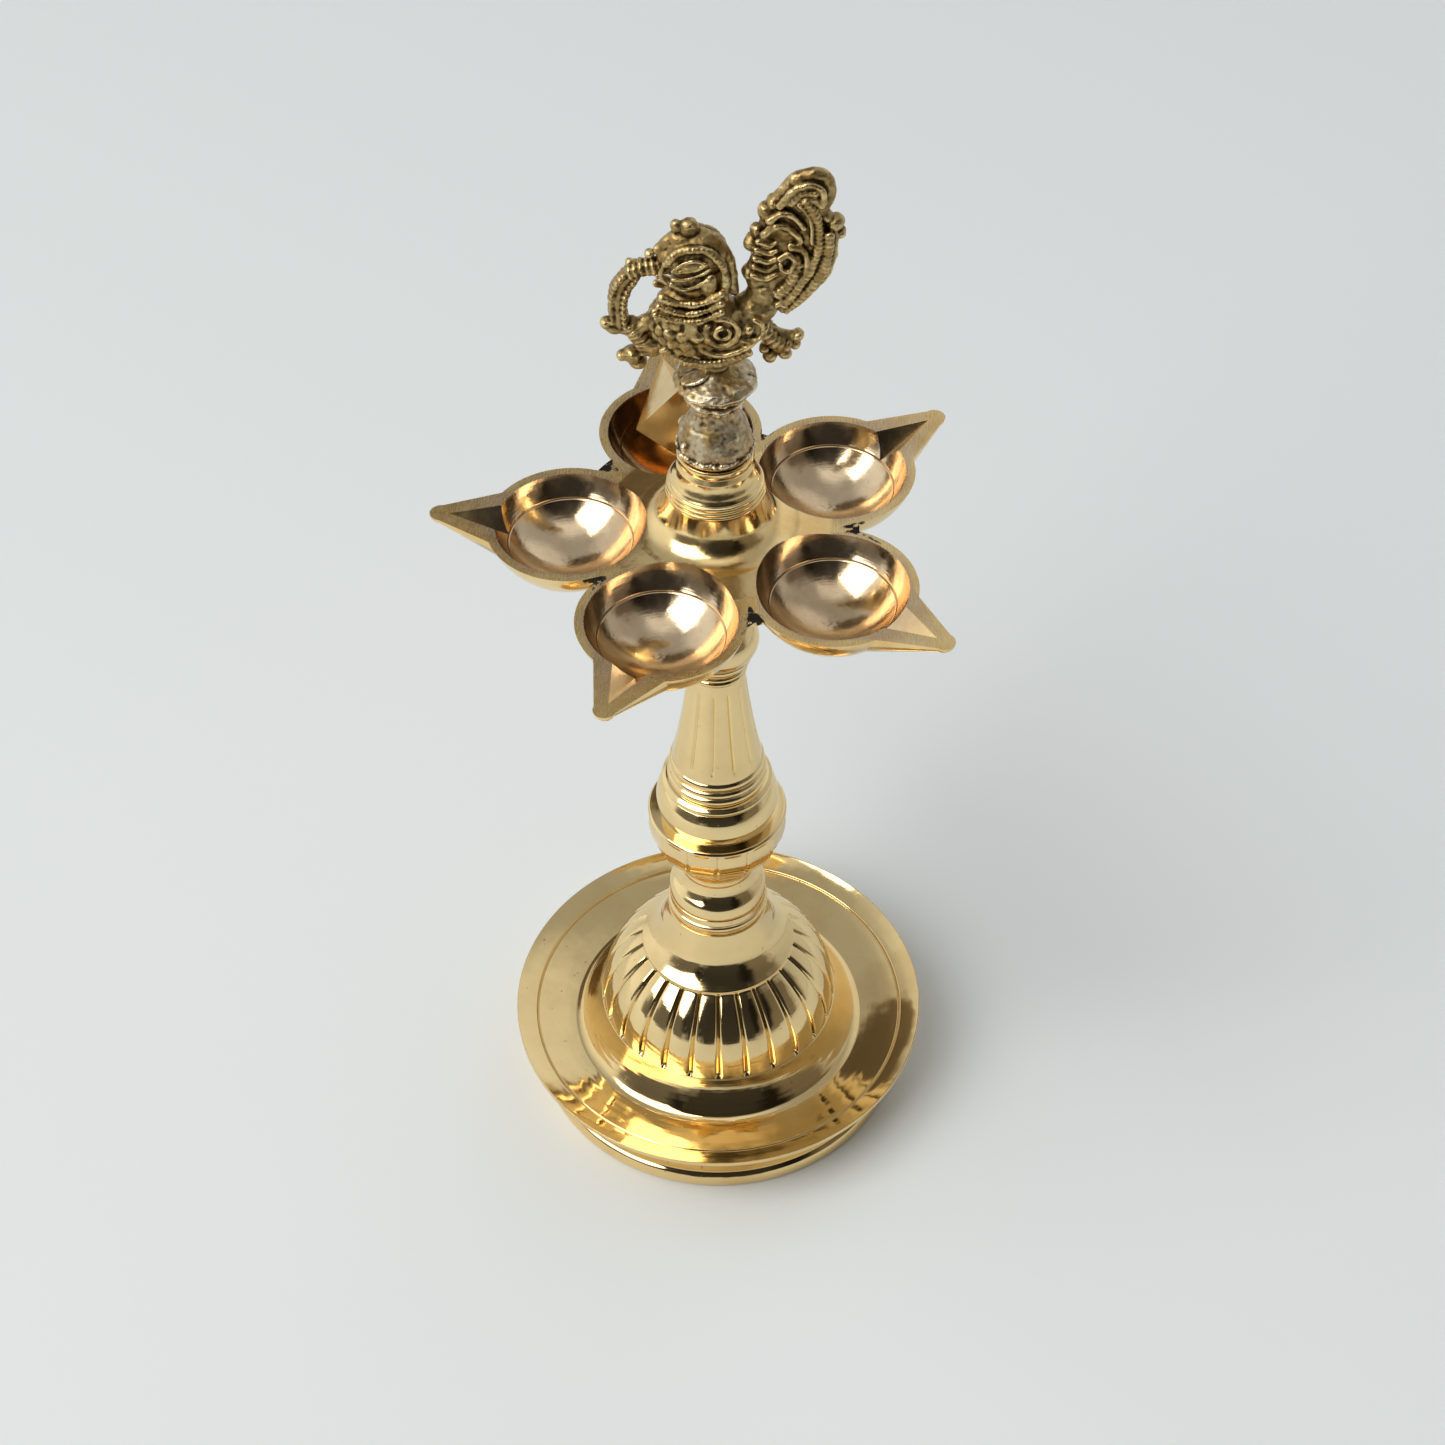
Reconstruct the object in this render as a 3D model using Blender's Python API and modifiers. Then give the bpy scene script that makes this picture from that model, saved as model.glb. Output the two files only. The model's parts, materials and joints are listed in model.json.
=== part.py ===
"""Standing brass oil lamp (samai).

A hollow turned foot with a drip dish, a ribbed dome, two screwed stem lengths, a head of five oil bowls
with wick spouts, and a cast peacock finial. Sizes are in millimetres and heights are measured from the
table, until MM turns them into metres. Every turned piece has its origin on the lamp's axis, which is
also the axis of the four threaded joints.
"""

import math

import bmesh
import bpy
from mathutils import Matrix, Vector

MM = 0.001

# The spouts reach further to one side than to the other, so the lamp's axis is off the footprint's centre.
AXIS_X = 5.9
AXIS_Y = -0.2

FIT_GAP = 0.3
STEM_STUD_RADIUS = 4.0
FINIAL_STUD_RADIUS = 3.0
WASHER_RADIUS = 10.0
NUT_RADIUS = 7.5

# Foot and dome
FOOT_RADIUS = 51.0
RIM_RADIUS = 57.5
RIM_HEIGHT = 20.0
SEAT_RADIUS = 32.9
SEAT_HEIGHT = 25.0
WEB_UNDERSIDE = 21.5
DOME_SHOULDER_RADIUS = 20.6
DOME_SHOULDER_HEIGHT = 47.4
DOME_TOP = 63.3
FLUTES = 26
FLUTE_DEPTH = 1.1

# Stem
LOWER_STEM_TOP = 112.5
KNOP_LIP_RADIUS = 18.3
KNOP_LIP_HEIGHT = 101.8
UPPER_STEM_TOP = 180.0

# Head
BOWL_RIM_HEIGHT = 203.0
BOWL_INNER_RADIUS = 18.0
BOWL_OUTER_RADIUS = 19.7
BOWL_DEPTH = 12.5
BOWL_FLOOR = 2.2
SPOUT_ROOT = 8.0
SPOUT_TIP_RADIUS = 3.0
SPOUT_HALF_WIDTH = 9.0
CHANNEL_HALF_WIDTH = 4.6
CHANNEL_TIP_HALF_WIDTH = 1.5
HEAD_TOP = 226.0
# Each bowl: direction and distance of its centre, direction and distance of its spout's tip
BOWLS = (
    (180.5, 35.0, 176.6, 69.0),
    (249.3, 35.8, 248.1, 70.0),
    (320.9, 35.6, 322.0, 69.4),
    (33.6, 34.4, 35.4, 69.6),
    (104.4, 35.0, 102.3, 68.0),
)

# Finial
DISC_HEIGHT = 247.4
BIRD_FEET = 251.2
BIRD_THICKNESS = 9.0


def clear_scene():
    for old in list(bpy.data.objects):
        bpy.data.objects.remove(old, do_unlink=True)


def new_collection(name):
    collection = bpy.data.collections.new(name)
    bpy.context.scene.collection.children.link(collection)
    return collection


def new_material(name, colour, roughness):
    material = bpy.data.materials.new(name)
    material.use_nodes = True
    shader = material.node_tree.nodes["Principled BSDF"]
    shader.inputs["Base Color"].default_value = (*colour, 1.0)
    shader.inputs["Roughness"].default_value = roughness
    shader.inputs["Metallic"].default_value = 1.0
    return material


def outline(*points):
    """Points of a profile. A point (r, z, sag, steps) is reached along an arc that bulges by sag."""
    profile = []
    for point in points:
        end = Vector(point[:2])
        if len(point) == 4:
            start, sag, steps = profile[-1], point[2], point[3]
            chord = end - start
            outward = Vector((-chord.y, chord.x)).normalized()
            for step in range(1, steps):
                along = step / steps
                bulge = sag * 4 * along * (1 - along)
                profile.append(start + chord * along + outward * bulge)
        profile.append(end)
    return profile


def profile_mesh(name, profile, closed):
    mesh = bpy.data.meshes.new(name)
    vertices = [(point.x * MM, 0, point.y * MM) for point in profile]
    edges = [(i, i + 1) for i in range(len(profile) - 1)]
    if closed:
        edges.append((len(profile) - 1, 0))
    mesh.from_pydata(vertices, edges, [])
    return mesh


def turned(name, profile, steps, material, closed=True):
    """A piece turned about the lamp's axis; an open profile starts and ends on the axis."""
    piece = bpy.data.objects.new(name, profile_mesh(name, profile, closed))
    lathe = piece.modifiers.new("lathe", "SCREW")
    lathe.axis = "Z"
    lathe.steps = steps
    lathe.render_steps = steps
    lathe.use_merge_vertices = True
    lathe.merge_threshold = 0.00001
    lathe.use_smooth_shade = True
    return add_piece(piece, material)


def add_piece(piece, material):
    parts.objects.link(piece)
    piece.data.materials.append(material)
    piece.parent = lamp_axis
    return piece


def add_cutter(piece):
    for collection in piece.users_collection:
        collection.objects.unlink(piece)
    cutters.objects.link(piece)
    piece.hide_render = True
    piece.display_type = "WIRE"
    return piece


def combine(piece, other, operation):
    """Joins or cuts a piece with a helper solid, which stays with the cutters."""
    boolean = piece.modifiers.new(other.name, "BOOLEAN")
    boolean.object = other
    boolean.operation = operation
    boolean.solver = "EXACT"


def solid(name, build, place=Matrix()):
    """A mesh object from a bmesh primitive, scaled and moved by the matrix place (millimetres)."""
    mesh = bpy.data.meshes.new(name)
    shape = bmesh.new()
    build(shape)
    shape.transform(Matrix.Scale(MM, 4) @ place)
    shape.to_mesh(mesh)
    shape.free()
    mesh.shade_smooth()
    return bpy.data.objects.new(name, mesh)


def ball(radius, segments=20, rings=12):
    return lambda shape: bmesh.ops.create_uvsphere(
        shape, u_segments=segments, v_segments=rings, radius=radius
    )


def cone(radius_1, radius_2, length, segments=16):
    return lambda shape: bmesh.ops.create_cone(
        shape, cap_ends=True, segments=segments, radius1=radius_1, radius2=radius_2, depth=length
    )


def block(size):
    return lambda shape: bmesh.ops.create_cube(shape, size=size)


def polar(angle, distance):
    turn = math.radians(angle)
    return Vector((math.cos(turn), math.sin(turn), 0)) * distance


def make_foot():
    """Hollow foot: bead foot ring, flared rim, drip dish, and a web with the stud's hole."""
    bore = STEM_STUD_RADIUS + FIT_GAP
    profile = outline(
        (bore, SEAT_HEIGHT),
        (SEAT_RADIUS, SEAT_HEIGHT),
        (37.2, 16.9, -1.6, 4),
        (40.5, 14.8, 0.5, 3),
        (51.4, 17.5, -0.3, 3),
        (RIM_RADIUS, RIM_HEIGHT),
        (RIM_RADIUS, RIM_HEIGHT - 1.5),
        (50.2, 5.0, -1.6, 4),
        (FOOT_RADIUS, 4.2),
        (FOOT_RADIUS, 0.0, 0.6, 3),
        (47.6, 0.0),
        (47.2, 5.0),
        (52.4, 15.4, 1.4, 4),
        (41.0, 12.2, 0.4, 2),
        (36.6, 13.2),
        (30.4, WEB_UNDERSIDE, 1.0, 3),
        (bore, WEB_UNDERSIDE),
    )
    return turned("foot_dish", profile, 44, dish_brass)


def make_dome():
    """Hollow dome: flutes below the shoulder ring, a smooth cap above it, a boss for the stud inside."""
    bore = STEM_STUD_RADIUS + FIT_GAP
    bottom = SEAT_HEIGHT + FIT_GAP
    profile = outline(
        (bore, DOME_TOP),
        (13.2, DOME_TOP),
        (20.9, 48.4, -1.0, 4),
        (20.9, DOME_SHOULDER_HEIGHT + 0.2),
        (DOME_SHOULDER_RADIUS, DOME_SHOULDER_HEIGHT),
        (SEAT_RADIUS, bottom, 3.0, 5),
        (29.6, bottom),
        (17.6, 46.0, -2.8, 4),
        (11.0, 56.5, 0.8, 3),
        (bore, 56.5),
    )
    mesh = profile_mesh("ribbed_dome", profile, True)
    shape = bmesh.new()
    shape.from_mesh(mesh)
    steps = 2 * FLUTES
    bmesh.ops.spin(
        shape, geom=shape.verts[:] + shape.edges[:], axis=(0, 0, 1), cent=(0, 0, 0),
        angle=2 * math.pi, steps=steps, use_merge=True,
    )
    for vertex in shape.verts:
        cut_flute(vertex)
    bmesh.ops.recalc_face_normals(shape, faces=shape.faces)
    shape.to_mesh(mesh)
    shape.free()
    mesh.shade_smooth()
    mesh.set_sharp_from_angle(angle=math.radians(40))
    return add_piece(bpy.data.objects.new("ribbed_dome", mesh), pale_brass)


def cut_flute(vertex):
    """Moves a point of the dome's outside inwards where it lies between two ribs."""
    radius = math.hypot(vertex.co.x, vertex.co.y) / MM
    height = vertex.co.z / MM
    span = (DOME_SHOULDER_HEIGHT - height) / (DOME_SHOULDER_HEIGHT - SEAT_HEIGHT)
    inside = radius < DOME_SHOULDER_RADIUS + 12.4 * span - 1.0
    if inside or not 0.02 < span < 0.98:
        return
    angle = math.atan2(vertex.co.y, vertex.co.x)
    groove = 0.5 * (1 - math.cos(FLUTES * angle))
    scale = 1 - FLUTE_DEPTH * groove * math.sin(math.pi * span) ** 0.5 / radius
    vertex.co.x *= scale
    vertex.co.y *= scale


def make_lower_stem():
    """Beaded collar, neck, cup-shaped knop and convex cap, bored for a stud at both ends."""
    bottom = DOME_TOP + FIT_GAP
    bore = STEM_STUD_RADIUS + FIT_GAP
    outside = outline(
        (bore, LOWER_STEM_TOP),
        (13.9, LOWER_STEM_TOP),
        (15.5, 103.4, 0.7, 4),
        (15.4, 102.7),
        (17.5, 102.6),
        (KNOP_LIP_RADIUS, KNOP_LIP_HEIGHT),
        (KNOP_LIP_RADIUS, 100.6),
        (10.4, 84.0, 2.6, 5),
        (9.8, 80.0),
        (12.2, 73.5, -0.9, 3),
        (13.0, 71.5),
        (13.0, 66.6),
        (13.4, 65.6),
        (13.4, bottom),
        (bore, bottom),
    )
    core = outline((bore, bottom + 15), (0, bottom + 15))
    top_core = outline((0, LOWER_STEM_TOP - 14), (bore, LOWER_STEM_TOP - 14))
    return turned("lower_stem", top_core + outside + core, 32, pale_brass, closed=False)


def make_upper_stem():
    """Stack of beads, fluted cone, neck rings, bulb and the flange that the head sits on."""
    bottom = LOWER_STEM_TOP + FIT_GAP
    bore = STEM_STUD_RADIUS + FIT_GAP
    points = [
        (0, UPPER_STEM_TOP - 13),
        (bore, UPPER_STEM_TOP - 13),
        (bore, UPPER_STEM_TOP),
        (9.0, UPPER_STEM_TOP),
        (9.0, 176.6),
        (6.6, 174.4),
        (6.6, 171.2),
        (9.2, 169.2),
        (9.2, 158.8, 1.3, 5),
        (7.3, 157.6),
        (8.0, 156.4),
        (7.3, 155.0),
        (7.3, 153.6),
        (11.6, 122.4, -0.5, 5),
    ]
    beads = 4
    pitch = (122.4 - bottom) / beads
    for bead in range(beads):
        radius = 12.0 + 0.5 * bead
        top = 122.4 - bead * pitch
        points.append((radius, top - 0.12 * pitch))
        points.append((radius, top - 0.88 * pitch, 0.5, 2))
        points.append((radius - 0.5, top - pitch))
    points += [(bore, bottom), (bore, bottom + 14), (0, bottom + 14)]
    return turned("upper_stem", outline(*points), 28, pale_brass, closed=False)


def make_hub():
    """Central plate with seats for the bowls, the flare above it and the finial's socket."""
    bottom = UPPER_STEM_TOP + FIT_GAP
    stem_bore = STEM_STUD_RADIUS + FIT_GAP
    finial_bore = FINIAL_STUD_RADIUS + FIT_GAP
    profile = outline(
        (0, HEAD_TOP - 13),
        (finial_bore, HEAD_TOP - 13),
        (finial_bore, HEAD_TOP),
        (9.0, HEAD_TOP),
        (9.0, 224.2),
        (9.0, 221.0),
        (11.4, 216.6, -0.3, 3),
        (11.8, 214.6),
        (12.5, 210.0),
        (20.0, 203.5, -1.9, 5),
        (26.0, BOWL_RIM_HEIGHT),
        (34.0, BOWL_RIM_HEIGHT),
        (34.0, BOWL_RIM_HEIGHT - 3),
        (13.0, 186.5, -1.5, 3),
        (9.2, bottom + 2),
        (9.2, bottom),
        (stem_bore, bottom),
        (stem_bore, bottom + 13),
        (0, bottom + 13),
    )
    hub = turned("lamp_head_hub", profile, 36, pale_brass, closed=False)
    for index, (angle, distance, _, _) in enumerate(BOWLS, 1):
        centre = polar(angle, distance) + Vector((0, 0, BOWL_RIM_HEIGHT))
        gap = FIT_GAP
        seat = bowl_ball(f"seat_{index}", BOWL_OUTER_RADIUS + gap, BOWL_DEPTH + BOWL_FLOOR + gap)
        clearance = solid(f"seat_clearance_{index}", cone(BOWL_OUTER_RADIUS + gap,
                          BOWL_OUTER_RADIUS + gap, 12, 32), Matrix.Translation((0, 0, 6)))
        for cutter in (seat, clearance):
            cutter.location = centre * MM
            cutter.parent = lamp_axis
            add_cutter(cutter)
            combine(hub, cutter, "DIFFERENCE")
    return hub


def bowl_ball(name, rim_radius, depth, segments=20, rings=12):
    """The sphere whose cap below z = 0 has this rim radius and this depth."""
    radius = (rim_radius ** 2 + depth ** 2) / (2 * depth)
    place = Matrix.Translation((0, 0, radius - depth))
    return solid(name, ball(radius, segments, rings), place)


def lying_cone(name, start, end, start_radius, end_radius, segments, twist=0.0):
    """A cone along +X from start to end."""
    place = (
        Matrix.Translation(((start + end) / 2, 0, 0))
        @ Matrix.Rotation(math.radians(90), 4, "Y")
        @ Matrix.Rotation(math.radians(twist), 4, "Z")
    )
    return solid(name, cone(start_radius, end_radius, end - start, segments), place)


def make_bowl(index, angle, distance, tip_angle, tip_distance):
    """A round bowl with a tapered spout and a V channel; its origin is the centre of its rim."""
    name = f"oil_bowl_{index}"
    centre = polar(angle, distance)
    tip = polar(tip_angle, tip_distance)
    reach = (tip - centre).length
    nose = reach - SPOUT_TIP_RADIUS
    taper = (SPOUT_HALF_WIDTH - SPOUT_TIP_RADIUS) / (nose - BOWL_INNER_RADIUS)
    root_radius = SPOUT_TIP_RADIUS + taper * (nose - SPOUT_ROOT)
    bowl = bowl_ball(name, BOWL_OUTER_RADIUS, BOWL_DEPTH + BOWL_FLOOR)
    add_piece(bowl, bowl_brass)
    spout = lying_cone(f"spout_{index}", SPOUT_ROOT, nose, root_radius, SPOUT_TIP_RADIUS, 12)
    spout_tip = solid(f"spout_tip_{index}", ball(SPOUT_TIP_RADIUS * 1.01, 12, 8),
                      Matrix.Translation((nose, 0, 0)))
    top = solid(f"rim_cut_{index}", block(100), Matrix.Translation((0, 0, 50)))
    hollow = bowl_ball(f"hollow_{index}", BOWL_INNER_RADIUS, BOWL_DEPTH)
    channel_end = reach - 2.0
    slope = (CHANNEL_HALF_WIDTH - CHANNEL_TIP_HALF_WIDTH) / (channel_end - BOWL_INNER_RADIUS)
    channel_root = CHANNEL_TIP_HALF_WIDTH + slope * channel_end
    channel = lying_cone(f"channel_{index}", 0, channel_end, channel_root,
                         CHANNEL_TIP_HALF_WIDTH, 4)
    for helper, operation in (
        (spout, "UNION"), (spout_tip, "UNION"), (top, "DIFFERENCE"),
        (hollow, "DIFFERENCE"), (channel, "DIFFERENCE"),
    ):
        helper.parent = bowl
        add_cutter(helper)
        combine(bowl, helper, operation)
    bowl.location = (centre + Vector((0, 0, BOWL_RIM_HEIGHT))) * MM
    bowl.rotation_euler.z = math.atan2(tip.y - centre.y, tip.x - centre.x)
    return bowl


def make_stud(name, radius, bottom, top):
    chamfer = 0.6
    profile = outline(
        (0, top), (radius - chamfer, top), (radius, top - chamfer),
        (radius, bottom + chamfer), (radius - chamfer, bottom), (0, bottom),
    )
    return turned(name, profile, 20, steel, closed=False)


def make_base_fasteners():
    """Tie stud with its washer and hexagon nut under the foot's web."""
    bore = STEM_STUD_RADIUS + FIT_GAP
    washer_top = WEB_UNDERSIDE - FIT_GAP
    washer = outline((bore, washer_top), (WASHER_RADIUS, washer_top),
                     (WASHER_RADIUS, washer_top - 1.6), (bore, washer_top - 1.6))
    turned("base_washer", washer, 24, steel)
    nut_top = washer_top - 1.6 - FIT_GAP
    nut_height = 6.5
    nut = solid("base_nut", cone(NUT_RADIUS, NUT_RADIUS, nut_height, 6))
    nut.data.shade_flat()
    add_piece(nut, steel)
    nut.location.z = (nut_top - nut_height / 2) * MM
    hole = solid("nut_hole", cone(bore, bore, 20, 20))
    hole.parent = nut
    add_cutter(hole)
    combine(nut, hole, "DIFFERENCE")
    make_stud("base_tie_stud", STEM_STUD_RADIUS, nut_top - nut_height - 2, DOME_TOP + 14)


def make_pedestal():
    """Bulb, neck, disc and the low cone under the bird's feet."""
    bottom = HEAD_TOP + FIT_GAP
    bore = FINIAL_STUD_RADIUS + FIT_GAP
    profile = outline(
        (0, BIRD_FEET - FIT_GAP),
        (4.2, BIRD_FEET - FIT_GAP),
        (9.0, 248.4, -0.5, 3),
        (9.6, DISC_HEIGHT),
        (9.0, 246.2),
        (5.4, 242.0, -0.8, 3),
        (5.6, 237.0),
        (6.6, 235.6),
        (8.4, bottom, 1.6, 5),
        (bore, bottom),
        (bore, bottom + 9),
        (0, bottom + 9),
    )
    return turned("finial_pedestal", profile, 24, cast_brass, closed=False)


def flat_shape(name, points, thickness, handle="AUTO"):
    """A flat outline in the bird's plane (x, z), drawn as a filled curve and made a mesh."""
    curve = bpy.data.curves.new(name, "CURVE")
    curve.dimensions = "2D"
    curve.fill_mode = "BOTH"
    curve.resolution_u = 3
    curve.extrude = thickness / 2 * MM
    spline = curve.splines.new("BEZIER")
    spline.bezier_points.add(len(points) - 1)
    for knot, point in zip(spline.bezier_points, points):
        knot.co = (point[0] * MM, point[1] * MM, 0)
        knot.handle_left_type = knot.handle_right_type = handle
    spline.use_cyclic_u = True
    drawn = bpy.data.objects.new(name, curve)
    drawn.rotation_euler.x = math.radians(90)
    return curve_to_mesh(drawn)


def rod_shape(name, points, radius):
    """A round rod through points of the bird's plane, made a mesh."""
    curve = bpy.data.curves.new(name, "CURVE")
    curve.dimensions = "3D"
    curve.bevel_depth = radius * MM
    curve.bevel_resolution = 1
    curve.resolution_u = 3
    curve.use_fill_caps = True
    spline = curve.splines.new("BEZIER")
    spline.bezier_points.add(len(points) - 1)
    for knot, point in zip(spline.bezier_points, points):
        knot.co = (point[0] * MM, 0, point[1] * MM)
        knot.handle_left_type = knot.handle_right_type = "AUTO"
    return curve_to_mesh(bpy.data.objects.new(name, curve))


def curve_to_mesh(drawn):
    parts.objects.link(drawn)
    bpy.context.view_layer.update()
    evaluated = drawn.evaluated_get(bpy.context.evaluated_depsgraph_get())
    mesh = bpy.data.meshes.new_from_object(evaluated)
    shape = bmesh.new()
    shape.from_mesh(mesh)
    bmesh.ops.remove_doubles(shape, verts=shape.verts, dist=0.00001)
    shape.to_mesh(mesh)
    shape.free()
    result = bpy.data.objects.new(drawn.name, mesh)
    result.matrix_world = drawn.matrix_world
    bpy.data.objects.remove(drawn, do_unlink=True)
    return result


def make_peacock():
    """Cast bird in the plane y = 0: body, neck and head, crest, beak, garland and raised tail."""
    leaning = Matrix.Rotation(math.radians(-28), 4, "Y")
    stretched = Matrix.Diagonal((13.0, 7.6, 9.6, 1.0))
    body = solid("peacock", ball(1.0, 20, 12), Matrix.Translation((-2.6, 0, 263.6)) @ leaning @ stretched)
    add_piece(body, cast_brass)
    foot = solid("bird_foot", cone(6.4, 5.0, 7.0, 14), Matrix.Translation((-1.0, 0, BIRD_FEET + 3.5)))
    neck = solid("bird_neck", cone(8.2, 5.6, 14.0, 14), Matrix.Translation((-5.4, 0, 273.5)))
    head = solid("bird_head", ball(1.0, 16, 10),
                 Matrix.Translation((-6.8, 0, 280.6)) @ Matrix.Diagonal((9.6, 6.0, 7.8, 1.0)))
    beak = rod_shape("bird_beak", [(-12, 281), (-18.2, 279), (-21.6, 274.6)], 2.5)
    crest = flat_shape("bird_crest", [(-11, 285), (-9.4, 291), (-6.6, 292.4), (-4, 290.6), (-2.4, 285)], 4.4)
    garland = rod_shape("bird_garland", [(-20.8, 275), (-22.4, 268.2), (-22.6, 263), (-19.8, 256.6),
                                         (-12, 255.4)], 2.3)
    tail = flat_shape("bird_tail", [
        (2, 262), (10, 259.6), (19.6, 268), (26.0, 283), (28.4, 291), (26.2, 299), (21.4, 304.8),
        (14.4, 302.6), (10.0, 296), (7.0, 287.4), (6.2, 278), (3.6, 270),
    ], BIRD_THICKNESS)
    curl = rod_shape("bird_tail_curl", [(8, 257.2), (14.6, 254.8), (18.2, 258.2), (17.0, 263.4)], 2.1)
    for helper in (foot, neck, head, beak, crest, garland, tail, curl):
        helper.parent = lamp_axis
        add_cutter(helper)
        combine(body, helper, "UNION")
    return body


clear_scene()
parts = new_collection("brass_standing_oil_lamp")
cutters = new_collection("cutters")
lamp_axis = bpy.data.objects.new("lamp_axis", None)
lamp_axis.location = (AXIS_X * MM, AXIS_Y * MM, 0)
parts.objects.link(lamp_axis)

dish_brass = new_material("dish_brass", (0.80, 0.55, 0.20), 0.20)
pale_brass = new_material("pale_brass", (0.84, 0.66, 0.34), 0.24)
bowl_brass = new_material("bowl_brass", (0.78, 0.58, 0.36), 0.34)
cast_brass = new_material("cast_brass", (0.70, 0.54, 0.28), 0.42)
steel = new_material("steel", (0.55, 0.55, 0.56), 0.35)

make_foot()
make_dome()
make_base_fasteners()
make_lower_stem()
make_stud("stem_joint_stud", STEM_STUD_RADIUS, LOWER_STEM_TOP - 13, LOWER_STEM_TOP + 13)
make_upper_stem()
make_stud("head_joint_stud", STEM_STUD_RADIUS, UPPER_STEM_TOP - 12, UPPER_STEM_TOP + 12)
make_hub()
for number, bowl_place in enumerate(BOWLS, 1):
    make_bowl(number, *bowl_place)
make_stud("finial_joint_stud", FINIAL_STUD_RADIUS, HEAD_TOP - 12, HEAD_TOP + 8.5)
make_pedestal()
make_peacock()
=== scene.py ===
"""Brass standing oil lamp (samai): the visual model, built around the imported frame.

Sizes are in millimetres and heights are measured from the table, until MM turns them into metres. Each
piece is modelled about the lamp's own axis (x = y = 0) and then placed on that axis in the frame.
"""

import json
import math

import bmesh
import bpy
import numpy as np
from mathutils import Matrix, Vector, noise


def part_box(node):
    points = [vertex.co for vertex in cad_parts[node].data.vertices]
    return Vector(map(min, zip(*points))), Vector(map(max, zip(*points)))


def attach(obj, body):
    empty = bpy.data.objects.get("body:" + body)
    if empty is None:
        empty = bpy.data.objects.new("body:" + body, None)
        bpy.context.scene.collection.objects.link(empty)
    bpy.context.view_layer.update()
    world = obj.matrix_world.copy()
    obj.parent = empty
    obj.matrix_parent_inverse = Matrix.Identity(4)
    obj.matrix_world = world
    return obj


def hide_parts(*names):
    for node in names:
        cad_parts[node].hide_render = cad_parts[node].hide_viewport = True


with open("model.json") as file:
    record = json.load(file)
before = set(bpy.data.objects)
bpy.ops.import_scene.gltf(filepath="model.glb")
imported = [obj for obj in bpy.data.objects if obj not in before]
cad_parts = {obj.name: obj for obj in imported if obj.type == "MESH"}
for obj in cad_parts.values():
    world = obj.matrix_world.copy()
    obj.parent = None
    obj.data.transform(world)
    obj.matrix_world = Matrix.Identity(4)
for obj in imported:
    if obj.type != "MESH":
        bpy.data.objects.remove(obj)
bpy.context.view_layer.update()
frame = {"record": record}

MM = 0.001
SEAM = 0.12
PITCH_M8 = 1.25
PITCH_M6 = 1.0


def axis_of(node):
    low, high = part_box(node)
    return Vector(((low.x + high.x) / 2, (low.y + high.y) / 2, 0))


AXIS = axis_of("foot_dish")


def height(node, end):
    """Lowest (0) or highest (1) point of a CAD node, in millimetres."""
    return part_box(node)[end].z / MM


# Heights and radii of the turned pieces
RIM_RADIUS = 57.5
RIM_HEIGHT = 20.0
SEAT_RADIUS = 32.9
SEAT_HEIGHT = height("foot_dish", 1)
DOME_BOTTOM = SEAT_HEIGHT + SEAM
DOME_SHOULDER = 47.4
DOME_SHOULDER_RADIUS = 20.5
DOME_TOP = height("ribbed_dome", 1)
FLUTES = 26
STEM_BOTTOM = DOME_TOP + SEAM
LOWER_STEM_TOP = height("lower_stem", 1)
KNOP_FACETS = 14
UPPER_STEM_BOTTOM = LOWER_STEM_TOP + SEAM
UPPER_STEM_TOP = height("upper_stem", 1)
CONE_FLUTES = 12
HEAD_BOTTOM = UPPER_STEM_TOP + SEAM
BOWL_RIM = height("oil_bowl_1", 1)
HEAD_TOP = height("lamp_head_hub", 1)
FINIAL_SEAT = HEAD_TOP + 0.3
STUD_RADIUS = 4.0
FINIAL_STUD_RADIUS = 3.0
BORE = STUD_RADIUS + 0.15
TIE_SOCKET = 15.0
STEM_SOCKET = 14.0
HEAD_SOCKET = 13.0
FINIAL_SOCKET = 9.0
FINIAL_BORE = FINIAL_STUD_RADIUS + 0.15
CAST_BORE = FINIAL_STUD_RADIUS + 0.45

# Bowls
BOWL_INNER = 18.0
BOWL_OUTER = 20.2
BOWL_DEPTH = 12.5
BOWL_FLOOR = 2.2
PLATE_RADIUS = 34.5
SPOUT_TIP = 2.7
NOTCH_DISTANCE = 35.0
SPOUT_HALF_WIDTH = 9.0
CHANNEL_HALF_WIDTH = 5.0
CHANNEL_START = 2.0
CHANNEL_WIDEST = 16.5
CHANNEL_RISE = 0.25
CHANNEL_TIP = 0.05
CHANNEL_TO_TIP = 4.2
SPOUT_START = 6.0
LID_SIZE = 120
SPOUT_FLATTENING = 0.92
# direction and distance of each spout's tip from the lamp's axis
SPOUT_TIPS = ((176.6, 69.0), (248.1, 70.0), (322.0, 69.4), (35.4, 69.6), (102.3, 68.0))

FINE = 240
FLOOR_HALF_WIDTH = 6000.0
FLOOR_DROP = 0.02
VIEW_FROM = Vector((1.47, -506.7, 662.2))
VIEW_DOWN = 46.217
VIEW_ROLL = -0.204


# --- mesh helpers ---


def outline(*points, step=0.8):
    """Profile points. A point (r, z, sag) is reached along a parabola that bulges outwards by sag."""
    profile = []
    for point in points:
        end = Vector(point[:2])
        if len(point) == 3:
            start = profile[-1]
            chord = end - start
            outward = Vector((-chord.y, chord.x)).normalized()
            count = max(4, int(chord.length / step))
            for index in range(1, count):
                along = index / count
                profile.append(start + chord * along + outward * point[2] * 4 * along * (1 - along))
        profile.append(end)
    return profile


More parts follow.
